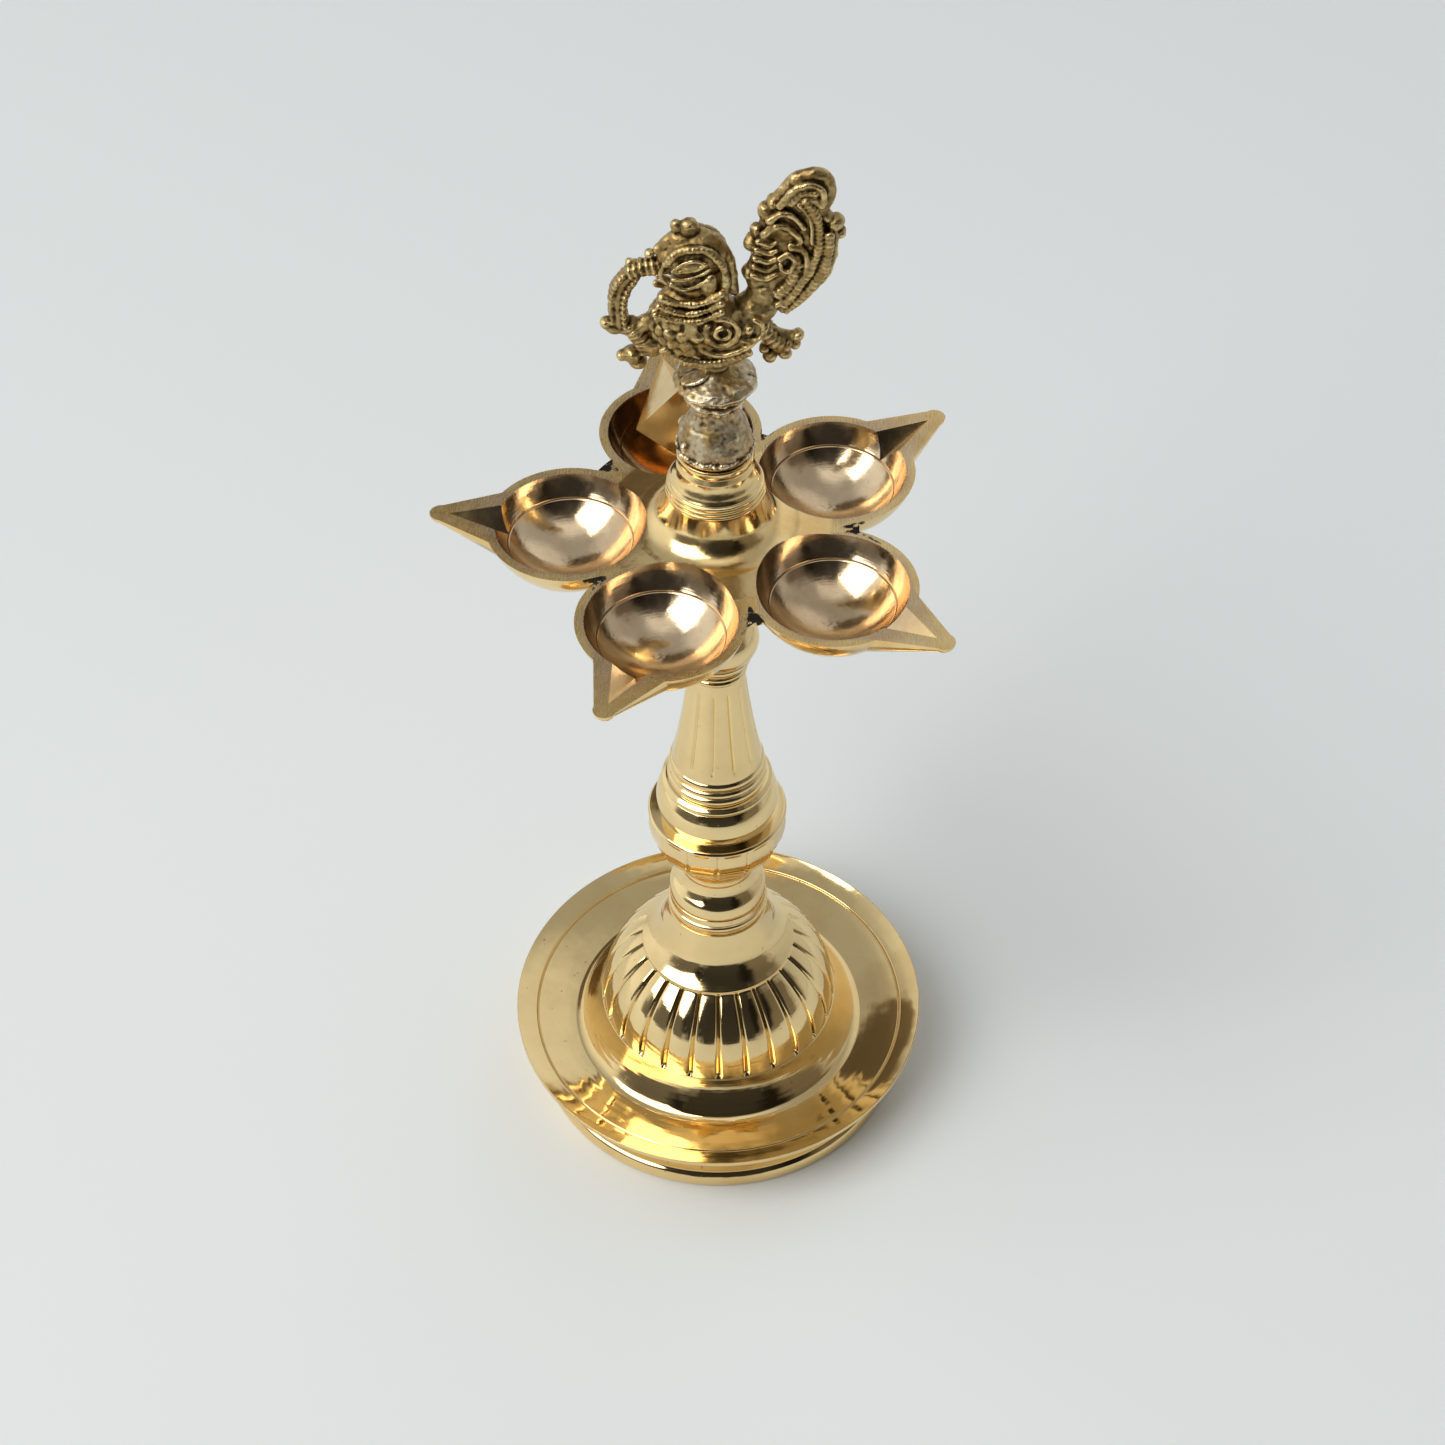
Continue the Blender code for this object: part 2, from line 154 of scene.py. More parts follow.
def softened(profile, radius=0.3, closed=True):
    """Rounds every sharp corner of a profile, with holding points beside each rounding."""
    result = []
    count = len(profile)
    for index, corner in enumerate(profile):
        if not closed and index in (0, count - 1):
            result.append(corner)
            continue
        back = profile[index - 1] - corner
        ahead = profile[(index + 1) % count] - corner
        turn = math.pi - back.angle(ahead, math.pi)
        if turn < math.radians(14):
            result.append(corner)
            continue
        cut = min(radius, 0.3 * back.length, 0.3 * ahead.length)
        start, end = corner + back.normalized() * cut, corner + ahead.normalized() * cut
        result.append(corner + back.normalized() * cut * 1.5)
        for along in (0.0, 0.25, 0.5, 0.75, 1.0):
            result.append(start.lerp(corner, along).lerp(corner.lerp(end, along), along))
        result.append(corner + ahead.normalized() * cut * 1.5)
    return result


def lathe(name, outside, inside=(), columns=FINE, carve=None):
    """A turned solid. outside runs from top to bottom, inside back up to its start; carve(r, z, angles)
    returns the radius of an outside ring at each angle."""
    profile = list(outside) + list(inside)
    closed = profile[0].x > 0
    angles = np.arange(columns) * 2 * math.pi / columns
    rings = []
    for index, point in enumerate(profile):
        radii = np.full(columns, point.x)
        if carve and index < len(outside):
            radii = carve(point.x, point.y, angles)
        ring = np.stack([radii * np.cos(angles), radii * np.sin(angles), np.full(columns, point.y)], 1)
        rings.append(ring)
    vertices = np.concatenate(rings) * MM
    faces = []
    for low in range(len(rings) if closed else len(rings) - 1):
        high = (low + 1) % len(rings)
        for column in range(columns):
            after = (column + 1) % columns
            faces.append((low * columns + column, high * columns + column,
                          high * columns + after, low * columns + after))
    mesh = bpy.data.meshes.new(name)
    mesh.from_pydata(vertices.tolist(), [], faces)
    tidy_mesh(mesh)
    return new_object(name, mesh)


def tidy_mesh(mesh, sharp=50.0):
    shape = bmesh.new()
    shape.from_mesh(mesh)
    bmesh.ops.remove_doubles(shape, verts=shape.verts, dist=1e-7)
    bmesh.ops.recalc_face_normals(shape, faces=shape.faces)
    shape.to_mesh(mesh)
    shape.free()
    mesh.shade_smooth()
    mesh.set_sharp_from_angle(angle=math.radians(sharp))


def new_object(name, mesh):
    piece = bpy.data.objects.new(name, mesh)
    bpy.context.scene.collection.objects.link(piece)
    return piece


def solid(name, build, place=Matrix()):
    """A mesh object from a bmesh primitive, moved by the matrix place (millimetres)."""
    mesh = bpy.data.meshes.new(name)
    shape = bmesh.new()
    build(shape)
    shape.transform(Matrix.Scale(MM, 4) @ place)
    shape.to_mesh(mesh)
    shape.free()
    return new_object(name, mesh)


def ball(radius, segments, rings):
    return lambda shape: bmesh.ops.create_uvsphere(
        shape, u_segments=segments, v_segments=rings, radius=radius)


def cone(radius_1, radius_2, length, segments):
    return lambda shape: bmesh.ops.create_cone(
        shape, cap_ends=True, segments=segments, radius1=radius_1, radius2=radius_2, depth=length)


def bake(piece):
    """Replaces a piece's mesh by what its modifiers make of it."""
    bpy.context.view_layer.update()
    evaluated = piece.evaluated_get(bpy.context.evaluated_depsgraph_get())
    mesh = bpy.data.meshes.new_from_object(evaluated)
    piece.modifiers.clear()
    piece.data = mesh
    return piece


def combine(piece, others, operation):
    """Joins or cuts a piece with helper solids, which are then removed."""
    for other in others:
        boolean = piece.modifiers.new(other.name, "BOOLEAN")
        boolean.object = other
        boolean.operation = operation
        boolean.solver = "EXACT"
    bake(piece)
    for other in others:
        bpy.data.objects.remove(other, do_unlink=True)
    return piece


def polar(angle, distance):
    turn = math.radians(angle)
    return Vector((math.cos(turn), math.sin(turn), 0)) * distance


def finish_piece(piece, body, slot, material, *nodes):
    """Places a piece on the lamp's axis, ties it to its body and gives it its look."""
    piece.location = piece.location + AXIS
    piece.data.materials.clear()
    piece.data.materials.append(material)
    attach(piece, body)
    if nodes:
        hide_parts(*nodes)
    return piece


# --- materials ---


class Nodes:
    """Short calls for building a node tree."""

    def __init__(self, name):
        self.material = bpy.data.materials.new(name)
        self.material.use_nodes = True
        self.tree = self.material.node_tree
        self.shader = self.tree.nodes["Principled BSDF"]

    def add(self, kind, **settings):
        node = self.tree.nodes.new(kind)
        for key, value in settings.items():
            setattr(node, key, value)
        return node

    def put(self, value, socket):
        if isinstance(value, bpy.types.NodeSocket):
            self.tree.links.new(value, socket)
        else:
            socket.default_value = value

    def math(self, operation, *values, clamp=False):
        node = self.add("ShaderNodeMath", operation=operation, use_clamp=clamp)
        for value, socket in zip(values, node.inputs):
            self.put(value, socket)
        return node.outputs[0]

    def plus(self, first, second):
        return self.math("ADD", first, second)

    def minus(self, first, second):
        return self.math("SUBTRACT", first, second)

    def times(self, first, second):
        return self.math("MULTIPLY", first, second)

    def vector(self, operation, *values):
        node = self.add("ShaderNodeVectorMath", operation=operation)
        for value, socket in zip(values, node.inputs):
            self.put(value, socket)
        is_number = operation in ("LENGTH", "DISTANCE", "DOT_PRODUCT")
        return node.outputs["Value" if is_number else "Vector"]

    def place(self):
        return self.add("ShaderNodeTexCoord").outputs["Object"]

    def split(self, vector):
        node = self.add("ShaderNodeSeparateXYZ")
        self.put(vector, node.inputs[0])
        return node.outputs

    def noise(self, vector, scale, detail=3.0, roughness=0.55, distortion=0.0):
        node = self.add("ShaderNodeTexNoise")
        self.put(vector, node.inputs["Vector"])
        self.put(scale, node.inputs["Scale"])
        self.put(detail, node.inputs["Detail"])
        self.put(roughness, node.inputs["Roughness"])
        self.put(distortion, node.inputs["Distortion"])
        return node.outputs["Fac"]

    def noise_line(self, value, scale, detail=2.0):
        node = self.add("ShaderNodeTexNoise", noise_dimensions="1D")
        self.put(value, node.inputs["W"])
        self.put(scale, node.inputs["Scale"])
        self.put(detail, node.inputs["Detail"])
        return node.outputs["Fac"]

    def remap(self, value, low, high, to_low=0.0, to_high=1.0):
        node = self.add("ShaderNodeMapRange", interpolation_type="SMOOTHSTEP")
        for part, socket in zip((value, low, high, to_low, to_high), node.inputs):
            self.put(part, socket)
        return node.outputs[0]

    def mix(self, factor, first, second):
        node = self.add("ShaderNodeMix", data_type="RGBA")
        self.put(factor, node.inputs["Factor"])
        self.put(first, node.inputs[6])
        self.put(second, node.inputs[7])
        return node.outputs[2]

    def bump(self, height_value, distance, normal=None, strength=1.0):
        node = self.add("ShaderNodeBump")
        self.put(height_value, node.inputs["Height"])
        self.put(distance, node.inputs["Distance"])
        self.put(strength, node.inputs["Strength"])
        if normal is not None:
            self.put(normal, node.inputs["Normal"])
        return node.outputs[0]

    def finish(self, colour, roughness, normal):
        self.put(colour, self.shader.inputs["Base Color"])
        self.put(roughness, self.shader.inputs["Roughness"])
        self.put(normal, self.shader.inputs["Normal"])
        self.put(1.0, self.shader.inputs["Metallic"])
        return self.material


def colour(red, green, blue):
    return (red, green, blue, 1.0)


def turned_brass(name, base, deep, roughness, waviness=0.00006):
    """Polished brass off the lathe: faint turning marks, a slightly wavy polish, tarnish and specks."""
    n = Nodes(name)
    place = n.place()
    z = n.split(place)[2]
    radius = n.vector("LENGTH", n.vector("MULTIPLY", place, (1.0, 1.0, 0.0)))
    along = n.minus(radius, z)
    marks = n.noise_line(along, 2600.0, 3.0)
    wave = n.noise(place, 90.0, 2.0)
    ripple = n.noise_line(n.plus(along, n.times(wave, 0.002)), 420.0, 1.0)
    cloud = n.noise(place, 38.0, 4.0, 0.6)
    specks = n.remap(n.noise(place, 620.0, 2.0, 0.7), 0.70, 0.76)
    tarnish = n.times(n.remap(cloud, 0.42, 0.72), 0.55)
    tint = n.mix(tarnish, colour(*base), colour(*deep))
    tint = n.mix(n.times(specks, 0.6), tint, colour(0.20, 0.12, 0.05))
    smear = n.remap(n.noise(place, 150.0, 5.0, 0.7), 0.35, 0.75, roughness * 0.75, roughness * 1.6)
    rough = n.plus(smear, n.times(specks, 0.25))
    normal = n.bump(wave, waviness * 1.6)
    normal = n.bump(ripple, waviness * 0.35, normal)
    normal = n.bump(marks, 0.0000022, normal)
    return n.finish(tint, rough, normal)


def attribute(n, name, output):
    node = n.add("ShaderNodeAttribute", attribute_name=name)
    return node.outputs[output]


def bowl_cluster_brass(name):
    """The head's brass: turned bowls, file marks on the ground rims and black residue in the notches."""
    n = Nodes(name)
    place = n.place()
    z = n.split(place)[2]
    local = attribute(n, "bowl_place", "Vector")
    inside = attribute(n, "bowl_inside", "Fac")
    ground = attribute(n, "ground_rim", "Fac")
    soot = attribute(n, "residue", "Fac")
    local_radius = n.vector("LENGTH", n.vector("MULTIPLY", local, (1.0, 1.0, 0.0)))
    hub_radius = n.vector("LENGTH", n.vector("MULTIPLY", place, (1.0, 1.0, 0.0)))
    hub_along = n.minus(hub_radius, z)
    cloud = n.noise(place, 60.0, 5.0, 0.62)
    fine = n.noise(place, 420.0, 4.0, 0.7)

    # colour: gold outside, a pinker and duller brass in the bowls, darker at their bottoms
    gold = n.mix(n.remap(cloud, 0.40, 0.75), colour(0.92, 0.69, 0.33), colour(0.80, 0.52, 0.20))
    rosy = n.mix(n.remap(cloud, 0.35, 0.70), colour(0.80, 0.62, 0.40), colour(0.62, 0.45, 0.27))
    centre = n.remap(n.plus(local_radius, n.times(fine, 0.003)), 0.0015, 0.0050, 1.0, 0.0)
    pits = n.times(centre, n.remap(n.noise(local, 900.0, 3.0, 0.8), 0.45, 0.62))
    stain = n.remap(n.noise(local, 210.0, 6.0, 0.75, 0.6), 0.60, 0.72)
    rosy = n.mix(n.times(stain, 0.55), rosy, colour(0.42, 0.27, 0.14))
    rosy = n.mix(n.times(pits, 0.75), rosy, colour(0.16, 0.10, 0.06))
    line = n.remap(n.math("ABSOLUTE", n.minus(local_radius, 0.0150)), 0.0, 0.00028, 1.0, 0.0)
    rosy = n.mix(n.times(line, 0.65), rosy, colour(0.34, 0.22, 0.12))
    tint = n.mix(inside, gold, rosy)
    black = n.remap(n.times(soot, n.remap(fine, 0.30, 0.60, 0.3, 1.6)), 0.32, 0.55)
    tint = n.mix(black, tint, colour(0.035, 0.030, 0.025))

    # roughness
    satin = n.remap(n.noise(local, 330.0, 5.0, 0.7), 0.3, 0.8, 0.10, 0.24)
    bright = n.remap(n.noise(place, 170.0, 5.0, 0.7), 0.3, 0.8, 0.10, 0.24)
    rough = n.plus(n.times(inside, satin), n.times(n.minus(1.0, inside), bright))
    rough = n.plus(rough, n.times(ground, 0.12))
    rough = n.math("ADD", rough, n.times(black, 0.45), clamp=True)

    # relief: turning rings in each bowl and round the hub, straight file marks on the ground rims
    bowl_rings = n.noise_line(local_radius, 2300.0, 3.0)
    hub_rings = n.noise_line(hub_along, 2300.0, 3.0)
    files = n.noise(n.vector("MULTIPLY", place, (2600.0, 420.0, 300.0)), 1.0, 2.0)
    normal = n.bump(cloud, 0.00016)
    normal = n.bump(bowl_rings, 0.000010, normal, inside)
    normal = n.bump(hub_rings, 0.0000045, normal, n.minus(1.0, inside))
    normal = n.bump(files, 0.000030, normal, ground)
    normal = n.bump(line, -0.00010, normal, inside)
    normal = n.bump(fine, 0.00012, normal, black)
    return n.finish(tint, rough, normal)


def cast_brass(name, base, silver, worn_and_highlight_colour, crevice):
    """Rough cast brass: dark patina and painted shade in the hollows, worn bright with a painted highlight
    on the high points, pitted skin.
    """
    n = Nodes(name)
    place = n.place()
    relief = attribute(n, "relief", "Fac")
    grain = n.noise(place, 900.0, 5.0, 0.7)
    lump = n.noise(place, 300.0, 4.0, 0.6)
    edge = n.plus(relief, n.times(n.minus(lump, 0.5), 0.16))
    # Painted shade: the hollows of the relief are darkened towards near black, partly as the cast's patina
    # and partly as the shade that falls in them.
    hollow = n.remap(edge, -0.10, 0.01, 1.0, 0.0)
    # Painted highlight: the high points are made paler, partly as worn-bright brass and partly as a painted
    # highlight.
    crest = n.remap(edge, 0.04, 0.17)
    blotch = n.remap(n.noise(place, 170.0, 5.0, 0.65), 0.42, 0.60)
    tint = n.mix(blotch, colour(*base), colour(*silver))
    tint = n.mix(n.times(crest, 0.75), tint, colour(*worn_and_highlight_colour))
    pits = n.remap(n.noise(place, 1500.0, 3.0, 0.8), 0.60, 0.72)
    grime = n.remap(n.noise(place, 330.0, 5.0, 0.75, 0.8), 0.52, 0.64)
    # The hollow mask carries patina and painted shade; the pits and grime are real marks.
    shade = n.math("MAXIMUM", n.times(hollow, 0.92), n.times(pits, 0.55))
    shade = n.math("MAXIMUM", shade, n.times(grime, 0.35))
    tint = n.mix(shade, tint, colour(*crevice))
    rough = n.plus(n.remap(edge, -0.05, 0.15, 0.46, 0.24), n.times(pits, 0.2))
    normal = n.bump(lump, 0.00030)
    normal = n.bump(grain, 0.00016, normal)
    normal = n.bump(pits, -0.00008, normal)
    return n.finish(tint, rough, normal)


def plain_steel(name):
    n = Nodes(name)
    place = n.place()
    grain = n.noise(n.vector("MULTIPLY", place, (400.0, 400.0, 2600.0)), 1.0, 3.0)
    cloud = n.noise(place, 220.0, 4.0, 0.6)
    rust = n.remap(n.noise(place, 340.0, 5.0, 0.7), 0.58, 0.70)
    tint = n.mix(n.remap(cloud, 0.4, 0.7), colour(0.56, 0.56, 0.57), colour(0.40, 0.40, 0.42))
    tint = n.mix(n.times(rust, 0.5), tint, colour(0.23, 0.13, 0.07))
    rough = n.remap(cloud, 0.3, 0.8, 0.28, 0.5)
    return n.finish(tint, rough, n.bump(grain, 0.00002))


# --- turned pieces ---


def make_foot():
    top = outline(
        (BORE, SEAT_HEIGHT), (SEAT_RADIUS + 0.2, SEAT_HEIGHT), (37.6, 16.9, -0.5), (40.6, 14.85, -0.45),
        (51.40, 17.48, -0.35), (51.75, 17.12), (52.10, 17.68), (RIM_RADIUS, RIM_HEIGHT, -0.15),
        (RIM_RADIUS, RIM_HEIGHT - 1.5), (50.1, 5.2, -1.7), (51.0, 4.4), (51.0, 0.0, 0.7), (47.6, 0.0),
    )
    under = outline(
        (47.2, 5.0), (52.4, 15.4, 1.4), (41.0, 12.2, 0.4), (36.6, 13.2), (30.4, 21.5, 1.0),
        (BORE, 21.5),
    )
    return lathe("drip_foot", softened(top + under, 0.35))


def flute_depth(phase, half_width, depth, crown):
    """Depth below a rib's crest: a narrow groove where phase is a whole number, a slight crown between."""
    away = np.abs(phase - np.round(phase))
    return depth * np.exp(-(away / half_width) ** 2) + crown * (1 - 2 * away) ** 2


def fade(value, low, high, length):
    """1 between low and high, falling smoothly to 0 within length of either end."""
    rise = np.clip((value - low) / length, 0, 1)
    fall = np.clip((high - value) / length, 0, 1)
    return (rise * rise * (3 - 2 * rise)) * (fall * fall * (3 - 2 * fall))


def make_dome():
    def carve(radius, level, angles):
        arc = 2 * math.pi * max(radius, 1.0) / FLUTES
        phase = angles / (2 * math.pi) * FLUTES + 0.5
        amount = fade(level, DOME_BOTTOM + 0.1, DOME_SHOULDER - 0.1, 0.8)
        if level > DOME_SHOULDER:
            amount = 0.0
        return radius - amount * flute_depth(phase, 0.46 / arc, 1.05, 0.30)

    outside = outline(
        (BORE, DOME_TOP), (13.5, DOME_TOP), (15.1, 57.2, -0.2), (20.5, 48.9, -0.9), (21.1, 48.4),
        (21.1, 47.7), (DOME_SHOULDER_RADIUS, DOME_SHOULDER))
    ribs = outline((DOME_SHOULDER_RADIUS, DOME_SHOULDER), (SEAT_RADIUS, DOME_BOTTOM, 3.1), step=0.45)[1:]
    foot_edge = outline((29.6, DOME_BOTTOM))
    inside = outline((29.6, DOME_BOTTOM), (17.6, 46.0, -2.8), (11.0, 56.5, 0.8), (BORE, 56.5))[1:]
    outside = softened(outside, 0.25, closed=False)[:-1]
    columns = FLUTES * 20
    return lathe("fluted_dome", outside + ribs + foot_edge, inside, columns, carve)


def make_lower_stem():
    def carve(radius, level, angles):
        if radius < 9.9:
            return np.full(len(angles), radius)
        turn = 2 * math.pi / KNOP_FACETS
        offset = (angles + turn / 2) % turn - turn / 2
        flat = radius * math.cos(turn / 2) / np.cos(offset)
        line = np.exp(-((turn / 2 - np.abs(offset)) * radius / 0.34) ** 2) * 0.55
        amount = fade(level, 84.0, 101.9, 1.6)
        return radius * (1 - amount) + (flat - line) * amount

    outside = outline(
        (BORE, LOWER_STEM_TOP), (14.0, LOWER_STEM_TOP), (15.5, 103.6, 1.3), (15.2, 102.7),
        (15.6, 102.6), (17.9, 102.5), (18.4, 101.9), (10.2, 84.0, 3.1), (9.8, 81.0), (9.9, 80.0),
        (12.3, 73.6, -0.9), (13.0, 72.0, 0.1), (13.0, 69.2), (12.75, 69.0), (13.0, 68.8), (13.1, 66.9),
        (12.8, 66.7), (13.3, 66.4), (13.4, 64.9, 0.25), (13.0, 64.7), (13.2, 64.4), (13.2, STEM_BOTTOM),
        (BORE, STEM_BOTTOM), step=0.5,
    )
    inside = outline((BORE, STEM_BOTTOM + TIE_SOCKET), (0, STEM_BOTTOM + TIE_SOCKET))
    core = outline((0, LOWER_STEM_TOP - STEM_SOCKET), (BORE, LOWER_STEM_TOP - STEM_SOCKET))
    columns = KNOP_FACETS * 18
    return lathe("knop_stem", softened(core + outside, 0.22, closed=False), inside, columns, carve)


def make_upper_stem():
    def carve(radius, level, angles):
        arc = 2 * math.pi * max(radius, 1.0) / CONE_FLUTES
        phase = angles / (2 * math.pi) * CONE_FLUTES + 0.22
        amount = fade(level, 124.0, 151.5, 2.2)
        return radius - amount * flute_depth(phase, 0.36 / arc, 0.45, 0.10)

    beads = []
    # stack of turned beads: radius, top, bottom and bulge of each one
    for radius, top, bottom, bulge in ((12.1, 122.3, 119.9, 0.35), (12.6, 119.7, 117.6, 0.30),
                                       (12.9, 117.4, 115.3, 0.25), (13.9, 115.0, UPPER_STEM_BOTTOM, 0.75)):
        beads += [(radius - 0.35, top), (radius, top - 0.3), (radius, bottom + 0.3, bulge),
                  (radius - 0.35, bottom)]
    outside = outline(
        (BORE, UPPER_STEM_TOP), (9.0, UPPER_STEM_TOP), (9.0, 176.8, 0.3), (6.7, 174.6),
        (6.6, 171.6, -0.2), (9.3, 168.8), (9.3, 160.6, 1.5), (9.0, 160.3), (9.2, 160.0),
        (7.6, 157.8, 0.5), (7.2, 157.4), (7.9, 156.9), (7.9, 155.8, 0.25), (7.2, 155.4), (7.6, 155.0),
        (7.6, 154.0, 0.2), (7.3, 153.6), (11.7, 123.2, -0.45), (11.7, 122.6), *beads,
        (BORE, UPPER_STEM_BOTTOM), step=0.6,
    )
    core = outline((0, UPPER_STEM_TOP - HEAD_SOCKET), (BORE, UPPER_STEM_TOP - HEAD_SOCKET))
    inside = outline((BORE, UPPER_STEM_BOTTOM + STEM_SOCKET), (0, UPPER_STEM_BOTTOM + STEM_SOCKET))
    columns = CONE_FLUTES * 24
    return lathe("cone_stem", softened(core + outside, 0.2, closed=False), inside, columns, carve)


def make_stud(name, radius, pitch, node, columns=32):
    """A threaded rod: a rod whose radius follows a helix, with plain chamfered ends."""
    low, high = height(node, 0), height(node, 1)
    rows_per_turn, chamfer_length, chamfer_depth = 8, 0.8, 0.7
    rows = int((high - low) / pitch * rows_per_turn)
    depth = 0.55 * pitch
    angles = np.arange(columns) * 2 * math.pi / columns
    profile = [Vector((0, high))]
    profile += [Vector((radius, high - (high - low) * row / rows)) for row in range(rows + 1)]
    profile.append(Vector((0, low)))

    def carve(ring_radius, level, _):
        if ring_radius == 0:
            return np.zeros(columns)
        phase = level / pitch - angles / (2 * math.pi)
        tooth = np.abs(2 * (phase - np.floor(phase)) - 1)
        chamfer = min(level - low, high - level, chamfer_length) / chamfer_length
        return ring_radius - depth * tooth - chamfer_depth * (1 - chamfer)

    return lathe(name, profile, (), columns, carve)


def make_washer():
    low, high = height("base_washer", 0), height("base_washer", 1)
    ring = outline((BORE, high), (10.0, high), (10.0, low), (BORE, low))
    return lathe("thread_washer", softened(ring, 0.3), (), 96)


def make_nut():
    """Hexagon nut: a hexagonal prism cut by a ball-shaped chamfer at both ends and by the bore."""
    low, high = height("base_nut", 0), height("base_nut", 1)
    middle = (low + high) / 2
    hexagon = solid("hexagon_nut", cone(7.5, 7.5, high - low, 6), Matrix.Translation((0, 0, middle)))
    chamfer = lathe("nut_chamfer", outline((0, high), (6.3, high), (7.6, high - 0.9), (7.6, low + 0.9),
                                           (6.3, low), (0, low)), (), 96)
    bore = solid("nut_bore", cone(BORE, BORE, 20, 48), Matrix.Translation((0, 0, middle)))
    combine(hexagon, [chamfer], "INTERSECT")
    combine(hexagon, [bore], "DIFFERENCE")
    tidy_mesh(hexagon.data, 30)
    return hexagon


# --- head ---


def bowl_centres():
    """Centre of each bowl about the lamp's axis, from the space that the frame keeps for its oil."""
    centres = []
    for opening in frame["record"]["physics"]["openings"]:
        if opening["name"].endswith("_well"):
            low, high = (Vector(corner) for corner in opening["box_m"])
            centre = (low + high) / 2 - AXIS
            centres.append(Vector((centre.x, centre.y, 0)) / MM)
    return centres


def spherical_cap(name, rim_radius, depth, place, segments):
    radius = (rim_radius ** 2 + depth ** 2) / (2 * depth)
    lift = Matrix.Translation((0, 0, radius - depth))
    return solid(name, ball(radius, segments, segments // 2), place @ lift)


def lying_cone(name, start, end, radius_1, radius_2, segments, place):
    along = (Matrix.Translation(((start + end) / 2, 0, 0)) @ Matrix.Rotation(math.radians(90), 4, "Y"))
    return solid(name, cone(radius_1, radius_2, end - start, segments), place @ along)


def make_head():
    """Hub, bowls and spouts as the one ground and polished cluster that they form on the lamp."""
    segments = 128
    top = outline(
        (0, HEAD_TOP - HEAD_SOCKET), (FINIAL_BORE, HEAD_TOP - HEAD_SOCKET), (FINIAL_BORE, HEAD_TOP),
        (8.9, HEAD_TOP), (9.1, 225.6), (9.1, 224.0, 0.1), (8.7, 223.7), (9.3, 222.2),
        (10.3, 219.0, -0.2), (11.0, 217.6, -0.1), (11.1, 217.3), (11.5, 217.1), (11.6, 216.3, 0.1),
        (11.3, 216.1), (11.7, 215.9), (11.8, 215.1, 0.1), (11.5, 214.9), (11.9, 214.7),
        (12.0, 213.9, 0.1), (11.8, 213.6), (12.5, 209.9, -0.1), (20.2, 204.0, -1.9),
        (28.0, BOWL_RIM, -0.1), (PLATE_RADIUS, BOWL_RIM), step=0.4)
    bottom = outline(
        (PLATE_RADIUS, BOWL_RIM - 2.6), (30.0, 197.6, -0.4), (13.0, 186.5, -1.6), (9.6, 184.0),
        (9.6, 183.0), (9.2, 182.6), (9.2, HEAD_BOTTOM), (BORE, HEAD_BOTTOM),
        (BORE, HEAD_BOTTOM + HEAD_SOCKET), (0, HEAD_BOTTOM + HEAD_SOCKET))
    head = lathe("bowl_cluster", softened(top + bottom, 0.2, closed=False), (), 192)
    bowls, hollows = [], []
    for index, (centre, (tip_angle, tip_distance)) in enumerate(zip(bowl_centres(), SPOUT_TIPS), 1):
        tip = polar(tip_angle, tip_distance)
        reach = (tip - centre).length
        heading = math.atan2(tip.y - centre.y, tip.x - centre.x)
        place = Matrix.Translation(centre + Vector((0, 0, BOWL_RIM))) @ Matrix.Rotation(heading, 4, "Z")
        bowls.append(outer_bowl(index, reach, place, segments))
        hollow = spherical_cap(f"hollow_{index}", BOWL_INNER, BOWL_DEPTH, place, segments)
        channel_end = reach - CHANNEL_TO_TIP
        slope = CHANNEL_HALF_WIDTH / (channel_end - CHANNEL_WIDEST)
        channel_root = slope * (channel_end - CHANNEL_START)
        channel = lying_cone(f"channel_{index}", CHANNEL_START, channel_end, channel_root, CHANNEL_TIP, 4,
                             place @ Matrix.Translation((0, 0, CHANNEL_RISE)))
        hollows += [hollow, channel]
    combine(head, bowls, "UNION")
    # Known fault: the upper part of the last channel's cutter is left standing above the rim, as a wedge
    # over the far bowl.
    combine(head, hollows, "DIFFERENCE")
    tidy_mesh(head.data, 32)
    mark_head(head.data)
    return head


def outer_bowl(index, reach, place, segments):
    """The outside of a bowl and its spout, cut level at the rim."""
    nose = reach - SPOUT_TIP
    taper = (SPOUT_HALF_WIDTH - SPOUT_TIP) / (nose - BOWL_INNER)
    bowl = spherical_cap(f"bowl_{index}", BOWL_OUTER, BOWL_DEPTH + BOWL_FLOOR, place, segments)
    deep = Matrix.Diagonal((1, 1, SPOUT_FLATTENING, 1))
    root_radius = SPOUT_TIP + taper * (nose - SPOUT_START)
    spout = lying_cone(f"spout_{index}", SPOUT_START, nose, root_radius, SPOUT_TIP, segments // 2,
                       place @ deep)
    nose_ball = solid(f"nose_{index}", ball(SPOUT_TIP * 1.003, segments // 2, segments // 4),
                      place @ deep @ Matrix.Translation((nose, 0, 0)))
    combine(bowl, [spout, nose_ball], "UNION")
    lid = solid(f"lid_{index}", lambda shape: bmesh.ops.create_cube(shape, size=LID_SIZE),
                place @ Matrix.Translation((0, 0, LID_SIZE / 2)))
    combine(bowl, [lid], "DIFFERENCE")
    return bowl


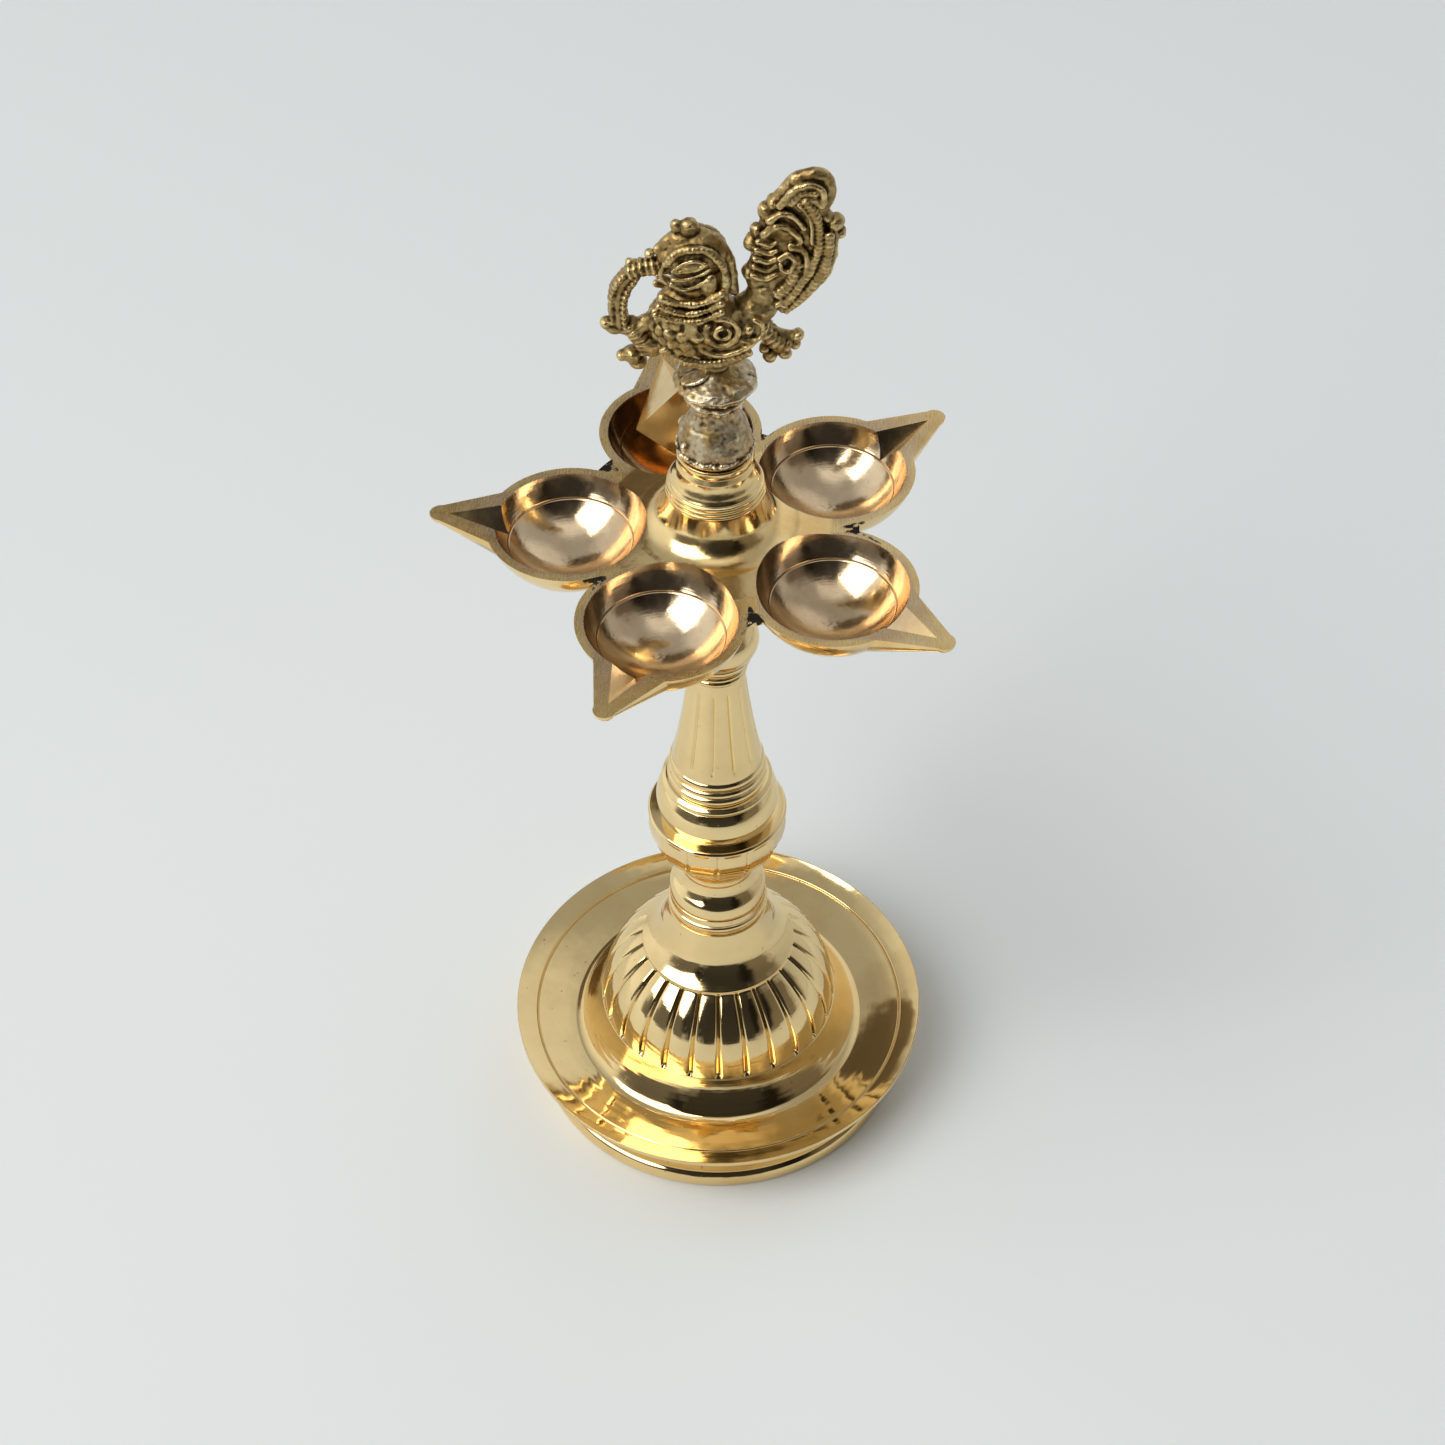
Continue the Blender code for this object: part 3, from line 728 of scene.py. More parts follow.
def mark_head(mesh):
    """Stores, for the material, where each point lies in its bowl, and where it is ground or sooty.
    Its limits are in metres."""
    centres = [Vector((*(centre.xy), BOWL_RIM)) * MM for centre in bowl_centres()]
    notches = []
    for index in range(5):
        pair = centres[index], centres[(index + 1) % 5]
        middle = (pair[0] + pair[1]) / 2
        outwards = Vector((middle.x, middle.y, 0)).normalized()
        notches.append(outwards * NOTCH_DISTANCE * MM + Vector((0, 0, BOWL_RIM * MM)))
    sphere = (BOWL_INNER ** 2 + BOWL_DEPTH ** 2) / (2 * BOWL_DEPTH) * MM
    skin, flatness, ground_from, residue_reach = 0.00006, 0.00005, 0.026, 0.0040
    count = len(mesh.vertices)
    place = np.zeros((count, 3), np.float32)
    inside, ground, residue = (np.zeros(count, np.float32) for _ in range(3))
    for vertex in mesh.vertices:
        co = vertex.co
        nearest = min(centres, key=lambda centre: (centre.xy - co.xy).length)
        local = co - nearest
        place[vertex.index] = local
        centre_height = sphere - BOWL_DEPTH * MM
        on_sphere = abs((local - Vector((0, 0, centre_height))).length - sphere) < skin
        inside[vertex.index] = float(on_sphere)
        flat = abs(co.z - BOWL_RIM * MM) < flatness and co.xy.length > ground_from
        ground[vertex.index] = float(flat)
        distance = min((co - notch).length for notch in notches)
        residue[vertex.index] = max(0.0, 1 - distance / residue_reach)
    for name, values, kind in (("bowl_place", place, "FLOAT_VECTOR"), ("bowl_inside", inside, "FLOAT"),
                               ("ground_rim", ground, "FLOAT"), ("residue", residue, "FLOAT")):
        layer = mesh.attributes.new(name, kind, "POINT")
        layer.data.foreach_set("vector" if kind == "FLOAT_VECTOR" else "value", values.ravel())


# --- finial ---


def rough_skin(piece, amount, scale, share=lambda place: 1.0):
    """Moves each point along its normal by smooth noise, for a cast skin; share(place) fades it out."""
    moves = []
    for vertex in piece.data.vertices:
        reach = noise.noise(vertex.co * scale) * amount * MM * share(vertex.co)
        moves.append(vertex.co + vertex.normal * reach)
    for vertex, place in zip(piece.data.vertices, moves):
        vertex.co = place
    return piece


def machined_share(place):
    """0 on the finial's seat and in its bore, which are machined, and 1 on the cast skin above them."""
    if place.xy.length < 4.8 * MM and place.z < (FINIAL_SEAT + 11) * MM:
        return 0.0
    return min(1.0, max(0.0, (place.z / MM - FINIAL_SEAT - 0.6) / 0.8))


def store_relief(piece, rounds):
    """Stores how far (mm) each point stands above (+) or lies below (-) the smoothed form around it."""
    mesh = piece.data
    count = len(mesh.vertices)
    places, normals = np.empty(count * 3, np.float32), np.empty(count * 3, np.float32)
    edges = np.empty(len(mesh.edges) * 2, np.int32)
    mesh.vertices.foreach_get("co", places)
    mesh.vertex_normals.foreach_get("vector", normals)
    mesh.edges.foreach_get("vertices", edges)
    places, normals, edges = places.reshape(-1, 3), normals.reshape(-1, 3), edges.reshape(-1, 2)
    ends, others = np.concatenate([edges, edges[:, ::-1]]).T
    neighbours = np.maximum(np.bincount(ends, minlength=count), 1)[:, None]
    smoothed = places
    for _ in range(rounds):
        sums = [np.bincount(ends, smoothed[others, axis], minlength=count) for axis in range(3)]
        smoothed = 0.4 * smoothed + 0.6 * np.stack(sums, 1) / neighbours
    values = ((places - smoothed) * normals).sum(1) / MM
    mesh.attributes.new("relief", "FLOAT", "POINT").data.foreach_set("value", values.astype(np.float32))
    return piece


def make_pedestal():
    outside = outline(
        (0, 251.4), (3.6, 251.3), (8.6, 248.9, -0.3), (9.7, 247.7), (9.7, 246.9, 0.15), (8.8, 246.1),
        (6.6, 243.8, -0.35), (6.3, 243.4), (6.9, 242.9), (6.9, 242.0, 0.25), (6.2, 241.5),
        (5.8, 238.4, -0.2), (6.7, 235.6, -0.1), (8.5, 231.2, 0.3), (8.7, 228.4, 0.2), (8.5, 227.3),
        (8.6, 226.9), (8.5, FINIAL_SEAT), (CAST_BORE, FINIAL_SEAT), step=0.4)
    inside = outline((CAST_BORE, FINIAL_SEAT + FINIAL_SOCKET), (0, FINIAL_SEAT + FINIAL_SOCKET))
    pedestal = lathe("bulb_pedestal", softened(outside, 0.25, closed=False), inside, 160)
    ragged = Casting()
    for level, radius, size in ((228.0, 8.9, 0.55), (241.6, 6.6, 0.5), (246.3, 8.8, 0.55)):
        steps = int(2 * math.pi * radius / size / 1.5)
        for step in range(steps):
            place = polar(360 * step / steps, radius + 0.2 * math.sin(step * 2.3)) + Vector((0, 0, level))
            ragged.lump(place, (size, size, size * (1 + 0.4 * math.sin(step * 1.7))), 0, 10)
    for angle, level, size in ((215, 230.4, 1.2), (300, 229.6, 1.0), (150, 231.0, 1.3), (40, 230.4, 1.1)):
        ragged.lump(polar(angle, 7.9) + Vector((0, 0, level)), (size * 1.3, size, size * 1.5), 0, 14)
    ragged.lump((-4.6, -3.4, 250.2), (3.6, 2.6, 0.9), 22, 16)
    join([pedestal, ragged.make("ragged_beads")])
    cast(pedestal, 0.22, 1)
    rough_skin(pedestal, 0.50, 260.0, machined_share)
    rough_skin(pedestal, 0.16, 800.0, machined_share)
    return store_relief(pedestal, 22)


def join(pieces):
    """Puts the meshes of all pieces into the first one."""
    shape = bmesh.new()
    for piece in pieces:
        shape.from_mesh(piece.data)
    shape.to_mesh(pieces[0].data)
    shape.free()
    for piece in pieces[1:]:
        bpy.data.objects.remove(piece, do_unlink=True)


def cast(piece, voxel, smoothing):
    """Fuses a piece's overlapping lumps into one skin and softens it."""
    remesh = piece.modifiers.new("fuse", "REMESH")
    remesh.mode = "VOXEL"
    remesh.voxel_size = voxel * 1.0 * MM
    smooth = piece.modifiers.new("soften", "SMOOTH")
    smooth.factor = 0.5
    smooth.iterations = smoothing
    bake(piece)
    drop_crumbs(piece.data)
    piece.data.shade_smooth()


def drop_crumbs(mesh, smallest=200):
    """Deletes loose bits of a fused mesh that have fewer points than smallest."""
    shape = bmesh.new()
    shape.from_mesh(mesh)
    seen = set()
    crumbs = []
    for first in shape.verts:
        if first in seen:
            continue
        seen.add(first)
        part = [first]
        for vertex in part:
            for edge in vertex.link_edges:
                other = edge.other_vert(vertex)
                if other not in seen:
                    seen.add(other)
                    part.append(other)
        if len(part) < smallest:
            crumbs += part
    bmesh.ops.delete(shape, geom=crumbs, context="VERTS")
    shape.to_mesh(mesh)
    shape.free()


class Casting:
    """Collects the lumps, rods and ribs of a cast figure, which stands in the plane y = 0."""

    def __init__(self):
        self.vertices = []
        self.faces = []
        self.count = 0
        self.templates = {}

    def unit_ball(self, segments):
        """Vertices and faces of a ball of radius 1."""
        if segments not in self.templates:
            shape = bmesh.new()
            bmesh.ops.create_uvsphere(shape, u_segments=segments, v_segments=segments // 2 + 1, radius=1.0)
            places = np.array([vertex.co[:] for vertex in shape.verts])
            corners = [[vertex.index for vertex in face.verts] for face in shape.faces]
            shape.free()
            self.templates[segments] = places, corners
        return self.templates[segments]

    def lump(self, place, radii, tilt=0.0, segments=14):
        """An ellipsoid at (x, y, z), turned by tilt degrees in the figure's plane."""
        places, corners = self.unit_ball(segments)
        turn = np.array(Matrix.Rotation(math.radians(-tilt), 3, "Y"))
        self.vertices.append((places * np.array(radii)) @ turn.T + np.array(place))
        self.faces += [[corner + self.count for corner in face] for face in corners]
        self.count += len(places)

    def rod(self, path, start_radius, end_radius=None, depth=0.0, spacing=0.35):
        """A rod along a smooth path through (x, z) points, in the plane y = depth."""
        end_radius = start_radius if end_radius is None else end_radius
        for along, point, _ in walk(path, spacing):
            radius = start_radius + (end_radius - start_radius) * along
            self.lump((point.x, depth, point.y), (radius, radius, radius), 0, 10)

    def ribs(self, path, width, thick, depth, pitch=0.9, end_width=None):
        """A band of cross ribs along a path: short lumps set across it."""
        end_width = width if end_width is None else end_width
        for along, point, heading in walk(path, pitch):
            half = (width + (end_width - width) * along) / 2
            self.lump((point.x, depth, point.y), (pitch * 0.82, thick, half), math.degrees(heading), 12)

    def beads(self, path, radius, depth, pitch):
        for _, point, _ in walk(path, pitch):
            self.lump((point.x, depth, point.y), (radius, radius, radius), 0, 10)

    def scales(self, centre, radii, rows, size):
        """Rows of lumps on an ellipsoid, staggered like scales, on both sides of the figure."""
        for row, (level, start, end) in enumerate(rows):
            steps = max(2, int((end - start) / 15))
            for step in range(steps):
                turn = math.radians(start + (end - start) * (step + 0.5 * (row % 2)) / steps)
                rise = math.radians(level)
                for side in (-1, 1):
                    place = (centre[0] - radii[0] * math.cos(rise) * math.cos(turn),
                             side * radii[1] * math.cos(rise) * math.sin(turn),
                             centre[2] + radii[2] * math.sin(rise))
                    self.lump(place, (size, size * 0.75, size), 0, 12)

    def make(self, name):
        mesh = bpy.data.meshes.new(name)
        mesh.from_pydata((np.concatenate(self.vertices) * MM).tolist(), [], self.faces)
        return new_object(name, mesh)


def walk(path, spacing):
    """Steps along a smooth curve through the points: share of the way, point, heading."""
    knots = [Vector(point) for point in path]
    ends = [2 * knots[0] - knots[1]] + knots + [2 * knots[-1] - knots[-2]]
    dense = []
    for index in range(1, len(ends) - 2):
        before, start, end, after = ends[index - 1:index + 3]
        for step in range(24):
            t = step / 24
            square = (2 * before - 5 * start + 4 * end - after) * t * t
            cube = (3 * start - before - 3 * end + after) * t ** 3
            dense.append(0.5 * ((2 * start) + (end - before) * t + square + cube))
    dense.append(knots[-1])
    lengths = np.cumsum([0.0] + [(b - a).length for a, b in zip(dense, dense[1:])])
    count = max(2, int(lengths[-1] / spacing) + 1)
    for step in range(count):
        target = lengths[-1] * step / (count - 1)
        index = min(int(np.searchsorted(lengths, target)), len(dense) - 1)
        index = max(index, 1)
        span = lengths[index] - lengths[index - 1]
        share = (target - lengths[index - 1]) / span if span else 0.0
        ahead = dense[index] - dense[index - 1]
        yield step / (count - 1), dense[index - 1] + ahead * share, math.atan2(ahead.y, ahead.x)


def arc_path(centre, radius, start, end, count=7, squeeze=1.0):
    """Points on an arc in the figure's plane, from start to end degrees."""
    path = []
    for step in range(count):
        turn = math.radians(start + (end - start) * step / (count - 1))
        path.append((centre[0] + radius * math.cos(turn), centre[1] + squeeze * radius * math.sin(turn)))
    return path


def make_peacock():
    bird = Casting()
    body_of_bird(bird)
    head_of_bird(bird)
    garland_of_bird(bird)
    tail_of_bird(bird)
    peacock = bird.make("cast_peacock")
    cast(peacock, 0.2, 11)
    return store_relief(rough_skin(rough_skin(peacock, 0.35, 330.0), 0.14, 800.0), 22)


def body_of_bird(bird):
    """Breast, belly and back, with collar bands, rows of scales and wing scrolls on each side."""
    breast, size = (-3.6, 0, 263.8), (10.4, 6.4, 8.4)
    bird.lump(breast, size, 10, 28)
    bird.lump((3.2, 0, 262.6), (9.0, 5.8, 6.4), 24, 24)
    bird.lump((-5.4, 0, 269.0), (7.6, 5.4, 6.0), 0, 24)
    bird.lump((-0.6, 0, 255.0), (4.4, 4.3, 4.2), 0, 18)
    bird.lump((-0.6, 0, 252.4), (4.2, 4.1, 2.2), 0, 18)
    bird.lump((9.2, 0, 267.8), (5.2, 4.0, 4.6), 30, 18)
    bird.scales(breast, (10.2, 6.3, 8.2), ((20, -8, 96), (3, -8, 96), (-14, -8, 90), (-31, -8, 84),
                                            (-48, -8, 78)), 1.75)
    for side in (-1, 1):
        for level, reach in ((274.2, 5.0), (271.9, 5.7), (269.6, 6.2)):
            collar = [(-5.4 - reach * 1.25, level + 0.4), (-8.6, level - 1.2), (-5.0, level - 1.6),
                      (-1.6, level - 0.8), (1.6, level + 1.2)]
            bird.rod(collar, 0.85, 0.7, side * (4.1 + 0.22 * reach))
            bird.ribs(collar, 1.9, 1.0, side * (4.3 + 0.22 * reach), 0.95)
        bird.lump((-5.4, side * 6.0, 266.0), (1.7, 1.3, 2.6), -8, 14)
        bird.rod(arc_path((1.6, 265.2), 3.7, 150, 470, 12), 0.95, 0.6, side * 5.9)
        bird.rod(arc_path((1.8, 265.0), 1.6, 100, 400, 10), 0.75, 0.55, side * 6.1)
        bird.rod(arc_path((7.8, 265.0), 3.0, 150, 430, 10), 0.85, 0.6, side * 4.9)
        bird.lump((7.8, side * 4.9, 265.0), (1.2, 0.9, 1.2))
        rim = [(-11.4, 259.4), (-8.6, 257.0), (-3.6, 255.2), (2.4, 255.6), (7.6, 258.6)]
        bird.ribs(rim, 2.6, 1.0, side * 4.6, 1.15)
        wing_edge = [(-4.2, 263.0), (-2.6, 259.6), (1.6, 258.2), (6.4, 259.8), (10.2, 263.0)]
        bird.rod(wing_edge, 0.75, 0.6, side * 5.3)


def head_of_bird(bird):
    """Neck, hooded head, almond eye, cheek, beak and the beaded crest."""
    bird.lump((-3.4, 0, 275.2), (6.4, 4.6, 6.0), 0, 24)
    bird.lump((-4.2, 0, 282.6), (7.4, 4.7, 6.2), 12, 28)
    bird.lump((-9.0, 0, 281.8), (3.8, 3.4, 3.6), 0, 20)
    bird.rod([(-4.2, 287.8), (0.2, 286.6), (2.8, 282.4), (3.8, 277.8), (4.2, 272.6)], 1.1, 1.4)
    bird.rod([(-11.8, 283.6), (-9.6, 286.2), (-5.6, 288.0)], 1.5, 1.5)
    bird.lump((-12.1, 0, 283.6), (1.2, 1.5, 1.1))
    bird.lump((-14.2, 0, 282.5), (1.1, 1.3, 1.0))
    bird.lump((-8.2, 0, 289.9), (1.5, 1.6, 1.7))
    bird.lump((-5.6, 0, 289.3), (2.4, 2.1, 2.7))
    bird.lump((-7.0, 0, 287.2), (3.2, 2.6, 1.9))
    for side in (-1, 1):
        hood = [(-10.6, 282.6), (-8.2, 285.4), (-4.8, 286.6), (-0.9, 285.8), (1.6, 282.4), (2.5, 278.0),
                (2.4, 273.4)]
        bird.rod(hood, 0.95, 0.95, side * 4.1)
        bird.ribs(hood, 2.0, 1.1, side * 4.2, 0.95)
        upper_lid = [(-9.2, 281.2), (-7.0, 283.2), (-4.2, 284.0), (-1.8, 283.2)]
        lower_lid = [(-9.2, 281.2), (-6.4, 281.2), (-3.8, 281.8), (-1.8, 283.2)]
        bird.rod(upper_lid, 0.48, 0.42, side * 4.9)
        bird.rod(lower_lid, 0.45, 0.40, side * 5.0)
        bird.lump((-5.4, side * 4.7, 282.4), (2.2, 0.8, 0.9), 12, 14)
        bird.rod([(-9.0, 278.9), (-6.2, 279.0), (-3.0, 280.2), (-0.8, 281.6)], 0.5, 0.4, side * 4.8)
        bird.rod([(-9.4, 277.4), (-6.8, 276.2), (-4.0, 276.8), (-0.8, 279.4)], 0.75, 0.5, side * 4.5)
        bird.lump((-1.2, side * 4.3, 277.0), (1.7, 1.1, 3.2), -16, 16)
        bird.rod([(-11.0, 281.4), (-11.8, 278.8), (-10.6, 276.6)], 0.7, 0.6, side * 3.0)


def garland_of_bird(bird):
    """The ribbed garland that hangs from the beak to the breast, with its knobs."""
    bird.rod([(-10.2, 279.6), (-14.5, 278.8), (-18.2, 278.4)], 2.1, 1.8)
    bird.ribs([(-12.0, 279.6), (-15.2, 279.0), (-18.6, 278.0)], 4.6, 2.6, 0, 1.35)
    bird.lump((-18.8, 0, 280.2), (1.1, 1.2, 1.0))
    bird.rod([(-18.0, 277.8), (-20.6, 273.8), (-21.6, 268.8), (-21.4, 263.4)], 1.8, 2.0)
    bird.ribs([(-19.3, 278.2), (-22.0, 274.2), (-23.0, 269.0), (-22.9, 264.2)], 1.9, 2.1, 0, 1.2)
    bird.ribs([(-17.2, 276.6), (-19.5, 272.6), (-20.3, 268.4), (-20.0, 263.4)], 2.2, 2.6, 0, 1.3)
    bird.lump((-24.2, 0, 263.5), (1.5, 1.7, 1.5))
    bird.lump((-22.6, 0, 262.1), (2.0, 2.1, 1.8))
    bird.rod([(-20.4, 262.4), (-17.2, 262.6), (-14.2, 264.4), (-11.6, 267.2)], 1.9, 2.2)
    bird.ribs([(-19.2, 263.0), (-16.6, 259.6), (-15.2, 256.2)], 4.4, 2.7, 0, 1.3, 5.2)
    bird.lump((-14.4, 0, 257.4), (3.3, 2.9, 3.4))
    bird.lump((-18.8, 0, 254.6), (2.4, 2.4, 2.0))
    bird.lump((-21.1, 0, 254.2), (1.3, 1.6, 1.4))
    bird.lump((-17.4, 0, 252.6), (2.3, 2.2, 1.8))


def tail_of_bird(bird):
    """The raised tail: a lobed plate with ribbed feathers, a scroll and a curled tip on both faces."""
    for place, radii, tilt in (
        ((10.8, 0, 270.6), (4.4, 3.2, 6.0), -28), ((13.4, 0, 279.0), (6.2, 2.6, 9.0), -20),
        ((18.2, 0, 283.0), (6.8, 2.4, 10.0), -24), ((16.6, 0, 291.6), (6.8, 2.4, 7.0), -20),
        ((20.6, 0, 297.6), (5.6, 2.6, 6.6), -24),
    ):
        bird.lump(place, radii, tilt, 24)
    for place, radius in (((7.6, 0, 277.6), 1.5), ((9.2, 0, 280.0), 1.3), ((8.2, 0, 285.6), 2.0),
                          ((9.4, 0, 288.8), 1.6), ((11.4, 0, 293.8), 2.1), ((12.8, 0, 296.2), 1.6)):
        bird.lump(place, (radius, 2.3, radius * 1.1))
    top_curl = [(13.6, 296.6), (16.4, 300.8), (20.0, 303.2), (23.4, 302.8), (25.0, 299.8), (24.0, 296.4)]
    bird.rod(top_curl, 1.5, 1.7)
    bird.lump((26.4, 0, 290.8), (2.2, 2.2, 2.2))
    bird.lump((27.6, 0, 288.4), (1.4, 1.8, 1.4))
    bird.lump((24.4, 0, 292.6), (1.8, 2.0, 1.6))
    bird.rod([(26.4, 288.6), (25.6, 282.8), (23.6, 277.4), (20.4, 272.8), (15.6, 267.8)], 1.2, 1.5)
    for side in (-1, 1):
        face = side * 2.6
        bird.rod([(26.4, 289.0), (26.2, 282.8), (24.4, 277.1), (21.1, 272.4), (16.2, 267.4)], 0.75, 0.75,
                 face * 0.5)
        outer_feather = [(25.0, 289.0), (24.9, 284.0), (23.6, 279.2), (20.9, 274.6), (16.6, 269.4)]
        bird.ribs(outer_feather, 2.7, 1.0, face, 1.15)
        inner_feather = [(19.7, 298.3), (22.4, 293.3), (22.9, 287.4), (21.9, 281.9), (19.6, 276.9),
                         (15.6, 270.6)]
        bird.ribs(inner_feather, 2.2, 1.1, face * 1.1, 1.1)
        bird.rod([(18.4, 297.4), (21.0, 292.8), (21.4, 287.2)], 0.5, 0.5, face * 1.2)
        paisley = [(16.6, 286.6), (19.4, 285.4), (20.5, 281.8), (19.5, 277.6), (17.2, 273.2), (13.8, 270.5)]
        bird.rod(paisley, 0.9, 0.65, face * 1.15)
        bird.ribs([(17.6, 283.4), (18.2, 280.4), (16.8, 276.4), (14.2, 272.8)], 2.8, 1.0, face, 1.1)
        eye_of_tail = [(14.4, 283.5), (16.0, 284.5), (17.5, 282.8), (16.5, 280.1), (14.8, 280.4),
                       (14.6, 282.0)]
        bird.rod(eye_of_tail, 0.75, 0.55, face * 1.3)
        for level in range(5):
            bird.rod([(8.4 + level * 0.3, 278.4 + level * 2.3), (11.2 + level * 0.25, 277.4 + level * 2.3),
                      (13.6, 278.6 + level * 2.2)], 0.85, 0.6, face)
        scroll = [(10.6, 289.2), (12.6, 291.2), (15.2, 291.6), (17.6, 289.6), (18.8, 287.6)]
        bird.rod(scroll, 1.0, 0.7, face)
        bird.rod([(12.0, 293.0), (14.6, 295.0), (17.4, 294.0), (19.4, 291.2)], 0.95, 0.7, face)
        bird.rod([(14.2, 296.8), (17.0, 300.8), (20.6, 302.2), (23.4, 300.8), (23.4, 297.0), (20.9, 298.8),
                  (18.6, 297.4)], 0.95, 0.7, face)
        bird.ribs([(16.6, 298.0), (19.0, 300.2), (21.8, 300.2)], 2.0, 0.9, face, 1.0)
        bird.ribs([(10.6, 262.4), (13.4, 259.4), (16.4, 258.0)], 4.4, 1.6, side * 1.6, 1.3, 3.2)
    bird.rod([(9.4, 264.0), (12.6, 260.6), (16.8, 259.4)], 2.0, 1.6)
    for place, radius in (((18.8, 0, 260.0), 1.6), ((18.2, 0, 257.6), 1.5), ((16.0, 0, 254.8), 1.6),
                          ((12.6, 0, 254.0), 1.7), ((11.2, 0, 256.2), 1.4), ((14.6, 0, 257.2), 2.0)):
        bird.lump(place, (radius, 1.9, radius))


# --- build ---

dish_look = turned_brass("dish_brass_polished", (0.86, 0.65, 0.32), (0.70, 0.48, 0.21), 0.08, 0.00010)
pale_look = turned_brass("pale_brass_polished", (0.90, 0.69, 0.35), (0.74, 0.52, 0.24), 0.09)
head_look = bowl_cluster_brass("bowl_brass_turned")
# Cast brass looks: dark patina with painted shade in the hollows, and wear with a painted highlight on the
# high points.
bird_look = cast_brass("cast_brass_patina_and_shade", (0.36, 0.24, 0.09), (0.46, 0.33, 0.14), (0.86, 0.66, 0.33),
                       (0.030, 0.018, 0.009))
pedestal_look = cast_brass("pedestal_brass", (0.42, 0.29, 0.12), (0.60, 0.50, 0.34), (0.95, 0.84, 0.60),
                           (0.040, 0.024, 0.012))
steel_look = plain_steel("thread_steel")

finish_piece(make_foot(), "foot", "dish_brass", dish_look, "foot_dish")
finish_piece(make_dome(), "foot", "pale_brass", pale_look, "ribbed_dome")
finish_piece(make_lower_stem(), "lower_stem", "pale_brass", pale_look, "lower_stem")
finish_piece(make_upper_stem(), "upper_stem", "pale_brass", pale_look, "upper_stem")
finish_piece(make_head(), "head", "bowl_brass", head_look, "lamp_head_hub", "oil_bowl_1", "oil_bowl_2",
             "oil_bowl_3", "oil_bowl_4", "oil_bowl_5")
finish_piece(make_pedestal(), "finial", "cast_brass", pedestal_look, "finial_pedestal")
finish_piece(make_peacock(), "finial", "cast_brass", bird_look, "peacock")
for stud_name, stud_radius, stud_pitch, stud_body, stud_node in (
    ("tie_thread", STUD_RADIUS, PITCH_M8, "foot", "base_tie_stud"),
    ("stem_thread", STUD_RADIUS, PITCH_M8, "lower_stem", "stem_joint_stud"),
    ("head_thread", STUD_RADIUS, PITCH_M8, "upper_stem", "head_joint_stud"),
    ("finial_thread", FINIAL_STUD_RADIUS, PITCH_M6, "head", "finial_joint_stud"),
):
    stud = make_stud(stud_name, stud_radius, stud_pitch, stud_node)
    finish_piece(stud, stud_body, "steel", steel_look, stud_node)
finish_piece(make_washer(), "foot", "steel", steel_look, "base_washer")
finish_piece(make_nut(), "foot", "steel", steel_look, "base_nut")


# --- stage ---


def make_floor():
    floor = solid("floor", lambda shape: bmesh.ops.create_grid(
        shape, x_segments=1, y_segments=1, size=FLOOR_HALF_WIDTH))
    n = Nodes("table_white")
    n.put(colour(0.86, 0.895, 0.90), n.shader.inputs["Base Color"])
    n.put(0.55, n.shader.inputs["Roughness"])
    floor.data.materials.append(n.material)
    floor.location.z = -FLOOR_DROP * MM


def area_light(name, place, target, size, power, tint=(1, 1, 1)):
    lamp = bpy.data.lights.new(name, "AREA")
    lamp.shape = "RECTANGLE"
    lamp.size, lamp.size_y = size
    lamp.energy = power
    lamp.color = tint
    holder = bpy.data.objects.new(name, lamp)
    holder.location = place
    holder.rotation_euler = (Vector(target) - Vector(place)).to_track_quat("-Z", "Y").to_euler()
    bpy.context.scene.collection.objects.link(holder)


def patch(n, direction, towards, core, edge, jitter, wobble):
    """1 within core degrees of a direction, with a ragged border, falling to 0 at edge degrees."""
    facing = n.vector("DOT_PRODUCT", direction, Vector(towards).normalized())
    facing = n.plus(facing, n.times(n.minus(wobble, 0.5), jitter))
    return n.remap(facing, math.cos(math.radians(edge)), math.cos(math.radians(core)))


